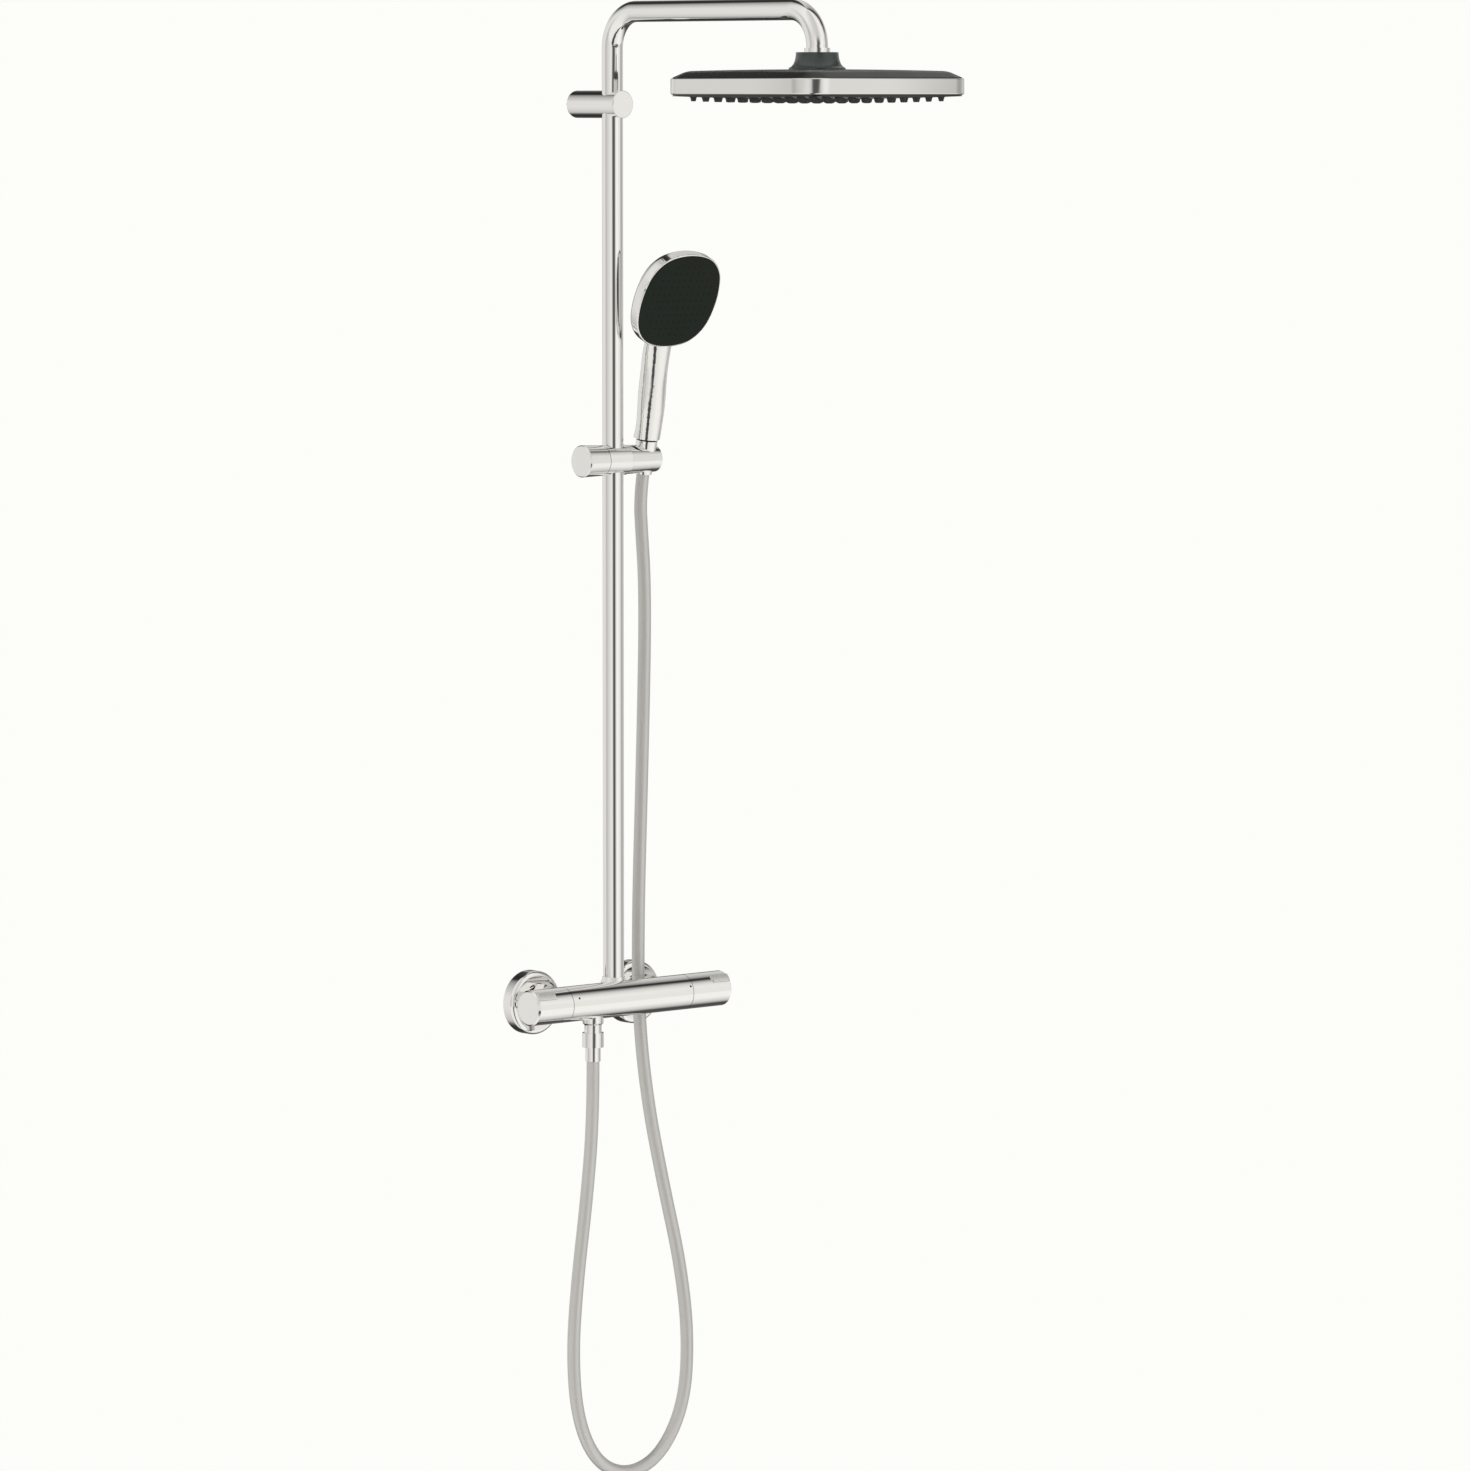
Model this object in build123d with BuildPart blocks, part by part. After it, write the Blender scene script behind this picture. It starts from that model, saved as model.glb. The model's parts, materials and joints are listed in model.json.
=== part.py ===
from build123d import *

import os
from math import atan2, cos, degrees, radians, sin, sqrt, tan

# Rainfall shower column: a bar thermostat on two wall supplies, a riser with a slider
# and hand shower, a swivelling arm and a rain head on a ball joint.
# Millimetres. The wall face is Y = 0 and the room is on -Y, +X is to the right, +Z is up.
# The origin is on the wall, midway between the two supply threads.

# Clearances
RUN_FIT = 0.05
BUTTON_GAP = 0.2
PART_GAP = 0.6
CONE_FIT = 0.08

# Wall supplies and eccentric unions
INLET_SPACING = 150.0
SUPPLY_THREAD_DIA = 20.9
SUPPLY_THREAD_LENGTH = 14.0
UNION_RISE = 4.5
UNION_SHOULDER = 3.0
UNION_COLLAR_DIA = 25.0
UNION_COLLAR_END = 11.0
UNION_THREAD_DIA = 26.4
UNION_LENGTH = 26.0
UNION_BORE = 14.0
PORT_DIA = 4.0
PORT_COUNT = 5
PORT_RADIUS = 4.3

# Escutcheons
ESCUTCHEON_DIA = 72.0
ESCUTCHEON_DEPTH = 17.0
ESCUTCHEON_WALL = 1.6
ESCUTCHEON_EDGE = 5.0

# Union nuts, strainers and check valves
STRAINER_THICKNESS = 2.0
NUT_FLATS = 30.0
NUT_GRIP = 8.0
NUT_LIP = 3.5
BOSS_FLANGE = 3.0
INLET_BOSS_DIA = 23.0
CHECK_VALVE_DIA = 16.0
CHECK_VALVE_LENGTH = 12.0
CHECK_VALVE_BORE = 8.0

# Bar mixer
BAR_FROM_WALL = 77.0
BAR_DIA = 40.0
BODY_OVERHANG_LEFT = 13.5
BODY_OVERHANG_RIGHT = 15.0
POCKET_DIA = 30.0
POCKET_DEPTH = 58.0
GALLERY_DIA = 12.0

# Cartridges, spindles and stop ring
NOSE_DIA = 18.0
NOSE_LENGTH = 6.0
SPINDLE_DIA = 10.0
STOP_RING_DIA = 26.0
STOP_RING_WIDTH = 4.0

# Handles, their end discs, screws and push buttons
FLOW_HANDLE_LENGTH = 51.0
TEMPERATURE_HANDLE_LENGTH = 59.0
HANDLE_WALL = 3.5
HANDLE_END_WALL = 6.5
HANDLE_BEVEL = 1.8
HUB_DIA = 17.0
HUB_LENGTH = 16.0
END_DISC_THICKNESS = 1.6
END_DISC_MARGIN = 2.4
HANDLE_SCREW_DIA = 4.0
HANDLE_SCREW_HEAD = 8.0
HANDLE_SCREW_LENGTH = 10.0
BUTTON_LENGTH = 24.0
BUTTON_WIDTH = 9.0
BUTTON_RISE = 1.8
BUTTON_PLATE = 3.2
BUTTON_TRAVEL = 1.5
BUTTON_FLANGE = 1.0
BUTTON_FROM_END = 2.4
BUTTON_ANGLE = 42.0
STEM_LENGTH = 14.0
STEM_FROM_END = 10.0
STEM_DEPTH = 3.4

# Hose outlet and lower hose fitting
OUTLET_FROM_RISER = 44.0
OUTLET_BOSS_DIA = 24.0
OUTLET_BOSS_DROP = 24.0
NIPPLE_DIA = 19.6
NIPPLE_DROP = 35.0
HOSE_THREAD_DIA = 20.9
HOSE_THREAD_LENGTH = 10.0
NIPPLE_SPIGOT_DIA = 15.0
NIPPLE_SPIGOT_LENGTH = 8.0
NIPPLE_BORE = 9.0
HOSE_NUT_DIA = 24.2
HOSE_NUT_LIP = 3.0
HOSE_WASHER_THICKNESS = 2.0
FERRULE_DIA = 17.2
FERRULE_FLANGE = 1.5
FERRULE_LENGTH = 20.5
HOSE_DIA = 14.5

# Riser and its seat on the mixer
RISER_FROM_WALL = 62.0
RISER_DIA = 23.5
RISER_WALL = 1.5
RISER_BOSS_DIA = 29.0
RISER_BOSS_TOP = 18.0
RISER_BOSS_BOTTOM = -12.0
RISER_SOCKET = 12.0
COLLAR_FLARE_DIA = 28.0
COLLAR_TOP_DIA = 25.0
COLLAR_HEIGHT = 5.5

# Wall bracket
BRACKET_HEIGHT = 1005.0
BRACKET_DIA = 30.7
BRACKET_FRONT = 18.0
BRACKET_EDGE = 2.5
BRACKET_SOCKET_DIA = 24.0
BRACKET_SOCKET_DEPTH = 42.0
BRACKET_CAP_THICKNESS = 3.0
BRACKET_CAP_EDGE = 1.0
CAP_PLUG_DIA = 12.0
CAP_PLUG_LENGTH = 1.6
WALL_PLUG_LENGTH = 14.0
WALL_SCREW_DIA = 5.6
WALL_THREAD_DIA = 4.8
WALL_SCREW_HEAD = 9.6
WALL_SCREW_REACH = 14.0

# Arm and its swivel
ARM_RISE = 103.0
ARM_DROP = 41.8
ARM_BEND_RADIUS = 41.0
HEAD_FROM_WALL = 400.0
SWIVEL_GAP = 0.8
SPIGOT_REACH = 36.0
SPIGOT_BORE = 15.0
SEAL_WIDTH = 2.4
SEAL_DEPTH = 1.2
SEAL_STEPS = (9.0, 22.0)

# Ball joint
BALL_DROP = 10.0
BALL_DIA = 18.0
STEM_DIA = 12.0
STEM_BORE = 6.0
STUD_PLUG_DIA = 19.2
STUD_PLUG_LENGTH = 4.6
ARM_COLLAR_DIA = 28.0
ARM_COLLAR_HEIGHT = 4.7
SEAT_THICKNESS = 3.0
SEAT_ABOVE = 3.6
SEAT_BELOW = 6.6

# Rain head
HEAD_SIDE = 250.0
HEAD_SIDE_RADIUS = 1500.0
HEAD_CORNER_RADIUS = 33.0
RIM_HEIGHT = 17.7
RIM_LIP = 0.8
RIM_WALL = 2.2
RIM_ROUND = 1.6
SHELL_RISE = 8.8
SHELL_ARCH_RADIUS = 5000.0
SHELL_DRAFT = 66.0
SHELL_SHOULDER = 30.0
SHELL_EDGE_REACH = 172.0
SHELL_WALL = 3.0
SEAM_RISE = 9.3
NECK_TOP_DIA = 46.0
NECK_FOOT_DIA = 62.0
NECK_FOOT_LIP = 1.5
NECK_HEIGHT = 18.5
NECK_RECESS_DIA = 39.4
NECK_RECESS_DEPTH = 6.2
NECK_SPIGOT_DIA = 36.0
NECK_SPIGOT_LENGTH = 5.0
RETAINER_DIA = 29.0
PLATE_LIP = 1.1
PLATE_BOW = 4.0
PLATE_THICKNESS = 3.0
NOZZLE_ROWS = 11
NOZZLE_PITCH = 19.0
NOZZLE_BASE_DIA = 7.4
NOZZLE_TIP_DIA = 5.0
NOZZLE_LENGTH = 4.6

# Slider
SLIDER_HEIGHT = 607.0
SLEEVE_WALL = 1.3
SLEEVE_HALF_HEIGHT = 13.5
SLEEVE_SLOT = 2.0
SLIDER_LEFT = 17.0
SLIDER_RIGHT = 16.0
SLIDER_DIA = 34.2
KNOB_END = 47.0
KNOB_DIA = 36.0
KNOB_BEVEL = 1.0
KNOB_POST_DIA = 22.0
KNOB_POST_LENGTH = 12.0
SPINDLE_BORE = 8.0
BRAKE_PAD_LENGTH = 3.6
HOLDER_END = 62.0
HOLDER_DIA = 33.0
HOLDER_END_DIA = 30.0
HOLDER_BEVEL = 1.0
PIVOT_DIA = 16.0
PIVOT_LENGTH = 10.0

# Handset cone in its holder
CONE_FROM_RISER = 47.5
HANDSET_LEAN = 10.0
CONE_MID_DIA = 21.8
CONE_TAPER = 0.069
CONE_BELOW = 16.8
CONE_ABOVE = 21.5
CONE_BORE = 10.0
CONE_SHOULDER = 17.0
HOSE_SLOT = 16.5
HANDSET_WASHER = 2.0
HANDSET_WASHER_DIA = 19.0

# Hand shower, lengths along the handle are from the slider's axis
HANDLE_FOOT_WIDTH = 24.6
HANDLE_FOOT_DEPTH = 24.0
HANDLE_WAIST = 78.0
HANDLE_WAIST_WIDTH = 28.4
HANDLE_WAIST_DEPTH = 26.0
HANDLE_TOP = 131.0
HANDLE_TOP_WIDTH = 33.0
HANDLE_TOP_DEPTH = 27.0
HANDLE_BORE = 12.0
HANDLE_BORE_LENGTH = 60.0
FACE_FORWARD = 58.7
FACE_RISE = 178.5
FACE_TILT = 23.7
FACE_SIDE = 114.0
FACE_SIDE_RADIUS = 92.0
FACE_CORNER_RADIUS = 42.5
HANDSET_DEPTH = 19.0
HANDSET_BACK_ROUND = 10.0
HANDSET_FRONT_ROUND = 1.2
FACE_MARGIN = 1.5
FACE_THICKNESS = 4.0
FACE_PROUD = 0.6

# Places that follow from the sizes above
BAR_Y = -BAR_FROM_WALL
BAR_Z = UNION_RISE
BAR_R = BAR_DIA / 2
RISER_Y = -RISER_FROM_WALL
RISER_R = RISER_DIA / 2
RISER_BORE_R = RISER_R - RISER_WALL
HEAD_Y = -HEAD_FROM_WALL
SLIDER_Z = BAR_Z + SLIDER_HEIGHT
BRACKET_Z = BAR_Z + BRACKET_HEIGHT
BODY_LEFT = INLET_SPACING / 2 + BODY_OVERHANG_LEFT
BODY_RIGHT = INLET_SPACING / 2 + BODY_OVERHANG_RIGHT
ARM_HEIGHT = BRACKET_HEIGHT + ARM_RISE
ARM_END = ARM_HEIGHT - ARM_DROP
NECK_TOP = ARM_END - ARM_COLLAR_HEIGHT
BALL_HEIGHT = NECK_TOP - BALL_DROP
BALL_Z = BAR_Z + BALL_HEIGHT
SHELL_CROWN = NECK_TOP - NECK_HEIGHT
SHELL_EDGE = SHELL_CROWN - SHELL_RISE
RIM_BOTTOM = SHELL_EDGE - RIM_LIP - RIM_HEIGHT
SHELL_SEAM = RIM_BOTTOM + SEAM_RISE
PLATE_EDGE = RIM_BOTTOM - PLATE_LIP
PLATE_CENTRE = PLATE_EDGE - PLATE_BOW
OUTLET_X = -OUTLET_FROM_RISER
FLANGE_FROM_WALL = UNION_LENGTH + STRAINER_THICKNESS
NUT_START = UNION_LENGTH - NUT_GRIP
NUT_END = FLANGE_FROM_WALL + BOSS_FLANGE + NUT_LIP

os.makedirs("parts", exist_ok=True)


def along_bar(x):
    """Plane with its X axis along the bar, starting x from the riser, and its Y axis up."""
    return Plane(origin=(x, BAR_Y, BAR_Z), x_dir=(1, 0, 0), z_dir=(0, -1, 0))


def across_bar(x):
    """Plane square to the bar's axis, its normal along +X."""
    return Plane(origin=(x, BAR_Y, BAR_Z), x_dir=(0, 1, 0), z_dir=(1, 0, 0))


def along_slider():
    """Plane with its X axis along the slider's axis and its Y axis up."""
    return Plane(origin=(0, RISER_Y, SLIDER_Z), x_dir=(1, 0, 0), z_dir=(0, -1, 0))


def into_room(x, z):
    """Plane with its X axis from the wall into the room, at x and z, and its Y axis up."""
    return Plane(origin=(x, 0, z), x_dir=(0, -1, 0), z_dir=(-1, 0, 0))


def wall_view(x, distance, z):
    """Plane parallel to the wall, that far into the room, its normal away from the wall."""
    return Plane(origin=(x, -distance, z), x_dir=(1, 0, 0), z_dir=(0, -1, 0))


def upright(x, y, z):
    """Plane with its X axis pointing up from (x, y, z), for pieces turned about a vertical."""
    return Plane(origin=(x, y, z), x_dir=(0, 0, 1), z_dir=(0, -1, 0))


def turn(plane, profile, mode=Mode.ADD):
    """Turn a closed profile of (distance along, radius) points about the plane's X axis."""
    with BuildSketch(plane) as section:
        with BuildLine():
            Polyline(*profile, close=True)
        make_face()
    revolve(section.sketch, axis=Axis(plane.origin, plane.x_dir), mode=mode)


def ring_profile(start, end, inner, outer):
    """Profile of a plain ring from start to end along its axis."""
    return [(start, inner), (end, inner), (end, outer), (start, outer)]


def rod_profile(start, end, radius):
    """Profile of a plain rod from start to end along its axis."""
    return ring_profile(start, end, 0, radius)


def bowed_square(side, side_radius, corner_radius, inset=0):
    """Face of a square with bowed sides and round corners, drawn in by inset all round."""
    half = side / 2 - inset
    bow = side_radius - inset
    corner = corner_radius - inset
    drop = bow - half
    reach = (sqrt(2 * (bow - corner) ** 2 - drop**2) - drop) / 2
    scale = bow / (bow - corner)
    start = Vector(-reach * scale, -drop + (reach + drop) * scale)
    middle = Vector(0, half)
    end = Vector(-start.X, start.Y)
    tip = Vector(reach + corner / sqrt(2), reach + corner / sqrt(2))
    after = Vector(start.Y, -start.X)
    with BuildLine() as outline:
        for quarter in range(4):
            stops = [p.rotate(Axis.Z, -90 * quarter) for p in (start, middle, end, tip, after)]
            ThreePointArc(*stops[0:3])
            ThreePointArc(*stops[2:5])
    make_face(outline.edges())


def save(builder, name):
    """Label a finished piece and write it to its own file."""
    builder.part.label = name
    export_step(builder.part, f"parts/{name}.step")


# Wall supplies, one set for each side

for side, x in (("left", -INLET_SPACING / 2), ("right", INLET_SPACING / 2)):
    with BuildPart() as s_union:
        turn(into_room(x, 0), rod_profile(-SUPPLY_THREAD_LENGTH, UNION_SHOULDER, SUPPLY_THREAD_DIA / 2))
        turn(into_room(x, 0), rod_profile(UNION_SHOULDER, UNION_COLLAR_END, UNION_COLLAR_DIA / 2))
        turn(into_room(x, BAR_Z), rod_profile(UNION_COLLAR_END, UNION_LENGTH, UNION_THREAD_DIA / 2))
        wall_bore = rod_profile(UNION_SHOULDER, UNION_COLLAR_END, UNION_BORE / 2)
        turn(into_room(x, 0), wall_bore, mode=Mode.SUBTRACT)
        room_bore = rod_profile(UNION_COLLAR_END - UNION_SHOULDER, UNION_LENGTH, UNION_BORE / 2)
        turn(into_room(x, BAR_Z), room_bore, mode=Mode.SUBTRACT)
        # The wall end quiets the flow: a ring of water ports round a solid core
        with BuildSketch(wall_view(x, -SUPPLY_THREAD_LENGTH, 0)):
            with PolarLocations(PORT_RADIUS, PORT_COUNT):
                Circle(PORT_DIA / 2)
        extrude(amount=SUPPLY_THREAD_LENGTH + UNION_SHOULDER, mode=Mode.SUBTRACT)
    save(s_union, f"s_union_{side}")

    # A cup that hides the union; its inner web sits on the union's collar
    with BuildPart() as escutcheon:
        with BuildSketch(wall_view(x, 0, 0)):
            Circle(ESCUTCHEON_DIA / 2)
        extrude(amount=ESCUTCHEON_DEPTH)
        fillet(escutcheon.edges().sort_by(Axis.Y)[0], ESCUTCHEON_EDGE)
        cup_r = ESCUTCHEON_DIA / 2 - ESCUTCHEON_WALL
        web_back = UNION_COLLAR_END - ESCUTCHEON_WALL
        web_front = ESCUTCHEON_DEPTH - ESCUTCHEON_WALL
        turn(into_room(x, 0), rod_profile(0, web_back, cup_r), mode=Mode.SUBTRACT)
        front_cup = rod_profile(UNION_COLLAR_END, web_front, cup_r - ESCUTCHEON_EDGE)
        turn(into_room(x, 0), front_cup, mode=Mode.SUBTRACT)
        collar_hole = rod_profile(0, ESCUTCHEON_DEPTH, UNION_COLLAR_DIA / 2 + RUN_FIT)
        turn(into_room(x, 0), collar_hole, mode=Mode.SUBTRACT)
        nut_hole = rod_profile(UNION_COLLAR_END, ESCUTCHEON_DEPTH, NUT_FLATS / sqrt(3) + PART_GAP)
        turn(into_room(x, BAR_Z), nut_hole, mode=Mode.SUBTRACT)
    save(escutcheon, f"escutcheon_{side}")

    with BuildPart() as strainer_washer:
        strainer = ring_profile(UNION_LENGTH, FLANGE_FROM_WALL, CHECK_VALVE_BORE / 2, INLET_BOSS_DIA / 2)
        turn(into_room(x, BAR_Z), strainer)
    save(strainer_washer, f"strainer_washer_{side}")

    # The hexagon stands on a corner, so that its flats face sideways
    with BuildPart() as inlet_nut:
        with BuildSketch(wall_view(x, NUT_START, BAR_Z)):
            RegularPolygon(NUT_FLATS / 2, 6, major_radius=False, rotation=30)
        extrude(amount=NUT_END - NUT_START)
        thread = rod_profile(NUT_START, NUT_END - NUT_LIP, UNION_THREAD_DIA / 2 + RUN_FIT)
        turn(into_room(x, BAR_Z), thread, mode=Mode.SUBTRACT)
        lip_hole = rod_profile(NUT_START, NUT_END, INLET_BOSS_DIA / 2 + RUN_FIT)
        turn(into_room(x, BAR_Z), lip_hole, mode=Mode.SUBTRACT)
    save(inlet_nut, f"inlet_nut_{side}")

    with BuildPart() as check_valve:
        valve_end = FLANGE_FROM_WALL + CHECK_VALVE_LENGTH
        valve = ring_profile(FLANGE_FROM_WALL, valve_end, CHECK_VALVE_BORE / 2, CHECK_VALVE_DIA / 2)
        turn(into_room(x, BAR_Z), valve)
    save(check_valve, f"check_valve_{side}")

# Bar mixer body, with its two inlet bosses behind, riser socket on top and hose boss below

with BuildPart() as mixer_body:
    turn(along_bar(0), rod_profile(-BODY_LEFT, BODY_RIGHT, BAR_R))
    for x in (-INLET_SPACING / 2, INLET_SPACING / 2):
        turn(into_room(x, BAR_Z), rod_profile(FLANGE_FROM_WALL, BAR_FROM_WALL, INLET_BOSS_DIA / 2))
        flange_end = FLANGE_FROM_WALL + BOSS_FLANGE
        turn(into_room(x, BAR_Z), rod_profile(FLANGE_FROM_WALL, flange_end, UNION_THREAD_DIA / 2))
    boss_point = RISER_BOSS_BOTTOM - RISER_BOSS_DIA / 4
    riser_boss = [
        (boss_point, 0),
        (RISER_BOSS_TOP, 0),
        (RISER_BOSS_TOP, RISER_BOSS_DIA / 2),
        (RISER_BOSS_BOTTOM, RISER_BOSS_DIA / 2),
    ]
    turn(upright(0, RISER_Y, BAR_Z), riser_boss)
    hose_boss = [
        (0, 0),
        (0, OUTLET_BOSS_DIA / 2),
        (-OUTLET_BOSS_DROP, OUTLET_BOSS_DIA / 2),
        (-OUTLET_BOSS_DROP - (OUTLET_BOSS_DIA - NIPPLE_DIA) / 2, NIPPLE_DIA / 2),
        (-OUTLET_BOSS_DROP - (OUTLET_BOSS_DIA - NIPPLE_DIA) / 2, 0),
    ]
    turn(upright(OUTLET_X, BAR_Y, BAR_Z), hose_boss)
    left_pocket = rod_profile(-BODY_LEFT, POCKET_DEPTH - BODY_LEFT, POCKET_DIA / 2 + RUN_FIT)
    turn(along_bar(0), left_pocket, mode=Mode.SUBTRACT)
    right_pocket = rod_profile(BODY_RIGHT - POCKET_DEPTH, BODY_RIGHT, POCKET_DIA / 2 + RUN_FIT)
    turn(along_bar(0), right_pocket, mode=Mode.SUBTRACT)
    gallery = rod_profile(POCKET_DEPTH - BODY_LEFT, BODY_RIGHT - POCKET_DEPTH, GALLERY_DIA / 2)
    turn(along_bar(0), gallery, mode=Mode.SUBTRACT)
    for x in (-INLET_SPACING / 2, INLET_SPACING / 2):
        valve_seat = rod_profile(
            FLANGE_FROM_WALL, FLANGE_FROM_WALL + CHECK_VALVE_LENGTH, CHECK_VALVE_DIA / 2 + RUN_FIT
        )
        turn(into_room(x, BAR_Z), valve_seat, mode=Mode.SUBTRACT)
        waterway = rod_profile(FLANGE_FROM_WALL, BAR_FROM_WALL - POCKET_DIA / 4, CHECK_VALVE_BORE / 2)
        turn(into_room(x, BAR_Z), waterway, mode=Mode.SUBTRACT)
    socket = rod_profile(RISER_BOSS_TOP - RISER_SOCKET, RISER_BOSS_TOP, RISER_R + RUN_FIT)
    turn(upright(0, RISER_Y, BAR_Z), socket, mode=Mode.SUBTRACT)
    collar_seat = rod_profile(RISER_BOSS_TOP, BAR_R + PART_GAP, COLLAR_FLARE_DIA / 2 + RUN_FIT)
    turn(upright(0, RISER_Y, BAR_Z), collar_seat, mode=Mode.SUBTRACT)
    turn(
        upright(0, RISER_Y, BAR_Z),
        rod_profile(-GALLERY_DIA / 4, RISER_BOSS_TOP, GALLERY_DIA / 2),
        mode=Mode.SUBTRACT,
    )
    cross_way = rod_profile(RISER_FROM_WALL, BAR_FROM_WALL, GALLERY_DIA / 4)
    turn(into_room(0, BAR_Z), cross_way, mode=Mode.SUBTRACT)
    spigot_top = NIPPLE_SPIGOT_LENGTH - OUTLET_BOSS_DROP - (OUTLET_BOSS_DIA - NIPPLE_DIA) / 2
    nipple_seat = rod_profile(-NIPPLE_DROP, spigot_top, NIPPLE_SPIGOT_DIA / 2 + RUN_FIT)
    turn(upright(OUTLET_X, BAR_Y, BAR_Z), nipple_seat, mode=Mode.SUBTRACT)
    turn(upright(OUTLET_X, BAR_Y, BAR_Z), rod_profile(-BAR_R, 0, NIPPLE_BORE / 2), mode=Mode.SUBTRACT)
save(mixer_body, "mixer_body")

# Cartridges in the bar's two end pockets, each with a nose that its handle turns on

for name, inward, face in (
    ("diverter_cartridge", 1, -BODY_LEFT),
    ("thermostat_cartridge", -1, BODY_RIGHT),
):
    with BuildPart() as cartridge:
        body_length = POCKET_DEPTH - PART_GAP
        cartridge_body = ring_profile(0, inward * body_length, SPINDLE_DIA / 2 + RUN_FIT, POCKET_DIA / 2)
        turn(along_bar(face), cartridge_body)
        nose = ring_profile(-inward * NOSE_LENGTH, 0, SPINDLE_DIA / 2 + RUN_FIT, NOSE_DIA / 2)
        turn(along_bar(face), nose)
    save(cartridge, name)

with BuildPart() as temperature_stop_ring:
    ring_start = PART_GAP
    stop_ring = ring_profile(
        ring_start, ring_start + STOP_RING_WIDTH, NOSE_DIA / 2 + RUN_FIT, STOP_RING_DIA / 2
    )
    turn(along_bar(BODY_RIGHT), stop_ring)
save(temperature_stop_ring, "temperature_stop_ring")

# Handles: a cup over the cartridge's nose, with a splined hub on the spindle,
# a flush end disc over its screw and a push button through its wall

for name, button_name, outward, face, length in (
    ("flow", "eco_button", -1, -BODY_LEFT, FLOW_HANDLE_LENGTH),
    ("temperature", "safety_button", 1, BODY_RIGHT, TEMPERATURE_HANDLE_LENGTH),
):
    plane = along_bar(face)
    cavity_r = BAR_R - HANDLE_WALL
    cavity_end = length - HANDLE_END_WALL
    disc_r = BAR_R - END_DISC_MARGIN
    disc_start = length - END_DISC_THICKNESS
    hub_start = cavity_end - HUB_LENGTH
    plate_middle = length - BUTTON_FROM_END - BUTTON_LENGTH / 2
    stem_middle = length - STEM_FROM_END - STEM_LENGTH / 2
    press_way = Vector(0, -cos(radians(BUTTON_ANGLE)), sin(radians(BUTTON_ANGLE)))
    plate_plane = Plane(
        origin=(face + outward * plate_middle, BAR_Y, BAR_Z), x_dir=(1, 0, 0), z_dir=press_way
    )
    stem_plane = Plane(
        origin=(face + outward * stem_middle, BAR_Y, BAR_Z), x_dir=(1, 0, 0), z_dir=press_way
    )
    top_r = BAR_R + BUTTON_RISE
    plate_foot = top_r - BUTTON_PLATE
    stem_foot = plate_foot - STEM_DEPTH
    pocket_floor = plate_foot - BUTTON_TRAVEL - BUTTON_GAP
    with BuildPart() as handle:
        outline = [
            (outward * PART_GAP, 0),
            (outward * PART_GAP, BAR_R),
            (outward * (length - HANDLE_BEVEL), BAR_R),
            (outward * length, BAR_R - HANDLE_BEVEL),
            (outward * length, 0),
        ]
        turn(plane, outline)
        cavity = rod_profile(outward * PART_GAP, outward * cavity_end, cavity_r)
        turn(plane, cavity, mode=Mode.SUBTRACT)
        hub = rod_profile(outward * hub_start, outward * cavity_end, HUB_DIA / 2)
        turn(plane, hub)
        spline = rod_profile(outward * hub_start, outward * cavity_end, SPINDLE_DIA / 2 + RUN_FIT)
        turn(plane, spline, mode=Mode.SUBTRACT)
        screw_hole = rod_profile(outward * hub_start, outward * length, HANDLE_SCREW_DIA / 2 + RUN_FIT)
        turn(plane, screw_hole, mode=Mode.SUBTRACT)
        head_seat = rod_profile(
            outward * (cavity_end + HANDLE_END_WALL / 3), outward * length, HANDLE_SCREW_HEAD / 2 + RUN_FIT
        )
        turn(plane, head_seat, mode=Mode.SUBTRACT)
        disc_seat = rod_profile(outward * disc_start, outward * length, disc_r + RUN_FIT)
        turn(plane, disc_seat, mode=Mode.SUBTRACT)
        with BuildSketch(plate_plane.offset(pocket_floor)):
            Rectangle(BUTTON_LENGTH + 2 * BUTTON_GAP, BUTTON_WIDTH + 2 * BUTTON_GAP)
        extrude(amount=top_r - pocket_floor, mode=Mode.SUBTRACT)
        with BuildSketch(stem_plane.offset(cavity_r - HANDLE_WALL)):
            Rectangle(STEM_LENGTH + 2 * BUTTON_GAP, BUTTON_WIDTH + 2 * BUTTON_GAP)
        extrude(amount=2 * HANDLE_WALL, mode=Mode.SUBTRACT)
    save(handle, f"{name}_handle")

    with BuildPart() as spindle:
        turn(plane, rod_profile(-outward * NOSE_LENGTH, outward * cavity_end, SPINDLE_DIA / 2))
        tapped = rod_profile(
            outward * (cavity_end - HANDLE_SCREW_LENGTH), outward * cavity_end, HANDLE_SCREW_DIA / 2 + RUN_FIT
        )
        turn(plane, tapped, mode=Mode.SUBTRACT)
    save(spindle, f"{name}_spindle")

    with BuildPart() as handle_screw:
        head_start = cavity_end + HANDLE_END_WALL / 3
        shank = rod_profile(
            outward * (head_start - HANDLE_SCREW_LENGTH), outward * head_start, HANDLE_SCREW_DIA / 2
        )
        turn(plane, shank)
        screw_head = rod_profile(
            outward * head_start, outward * (disc_start - PART_GAP), HANDLE_SCREW_HEAD / 2
        )
        turn(plane, screw_head)
    save(handle_screw, f"{name}_handle_screw")

    with BuildPart() as end_disc:
        turn(plane, rod_profile(outward * disc_start, outward * length, disc_r))
    save(end_disc, f"{name}_end_disc")

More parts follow.
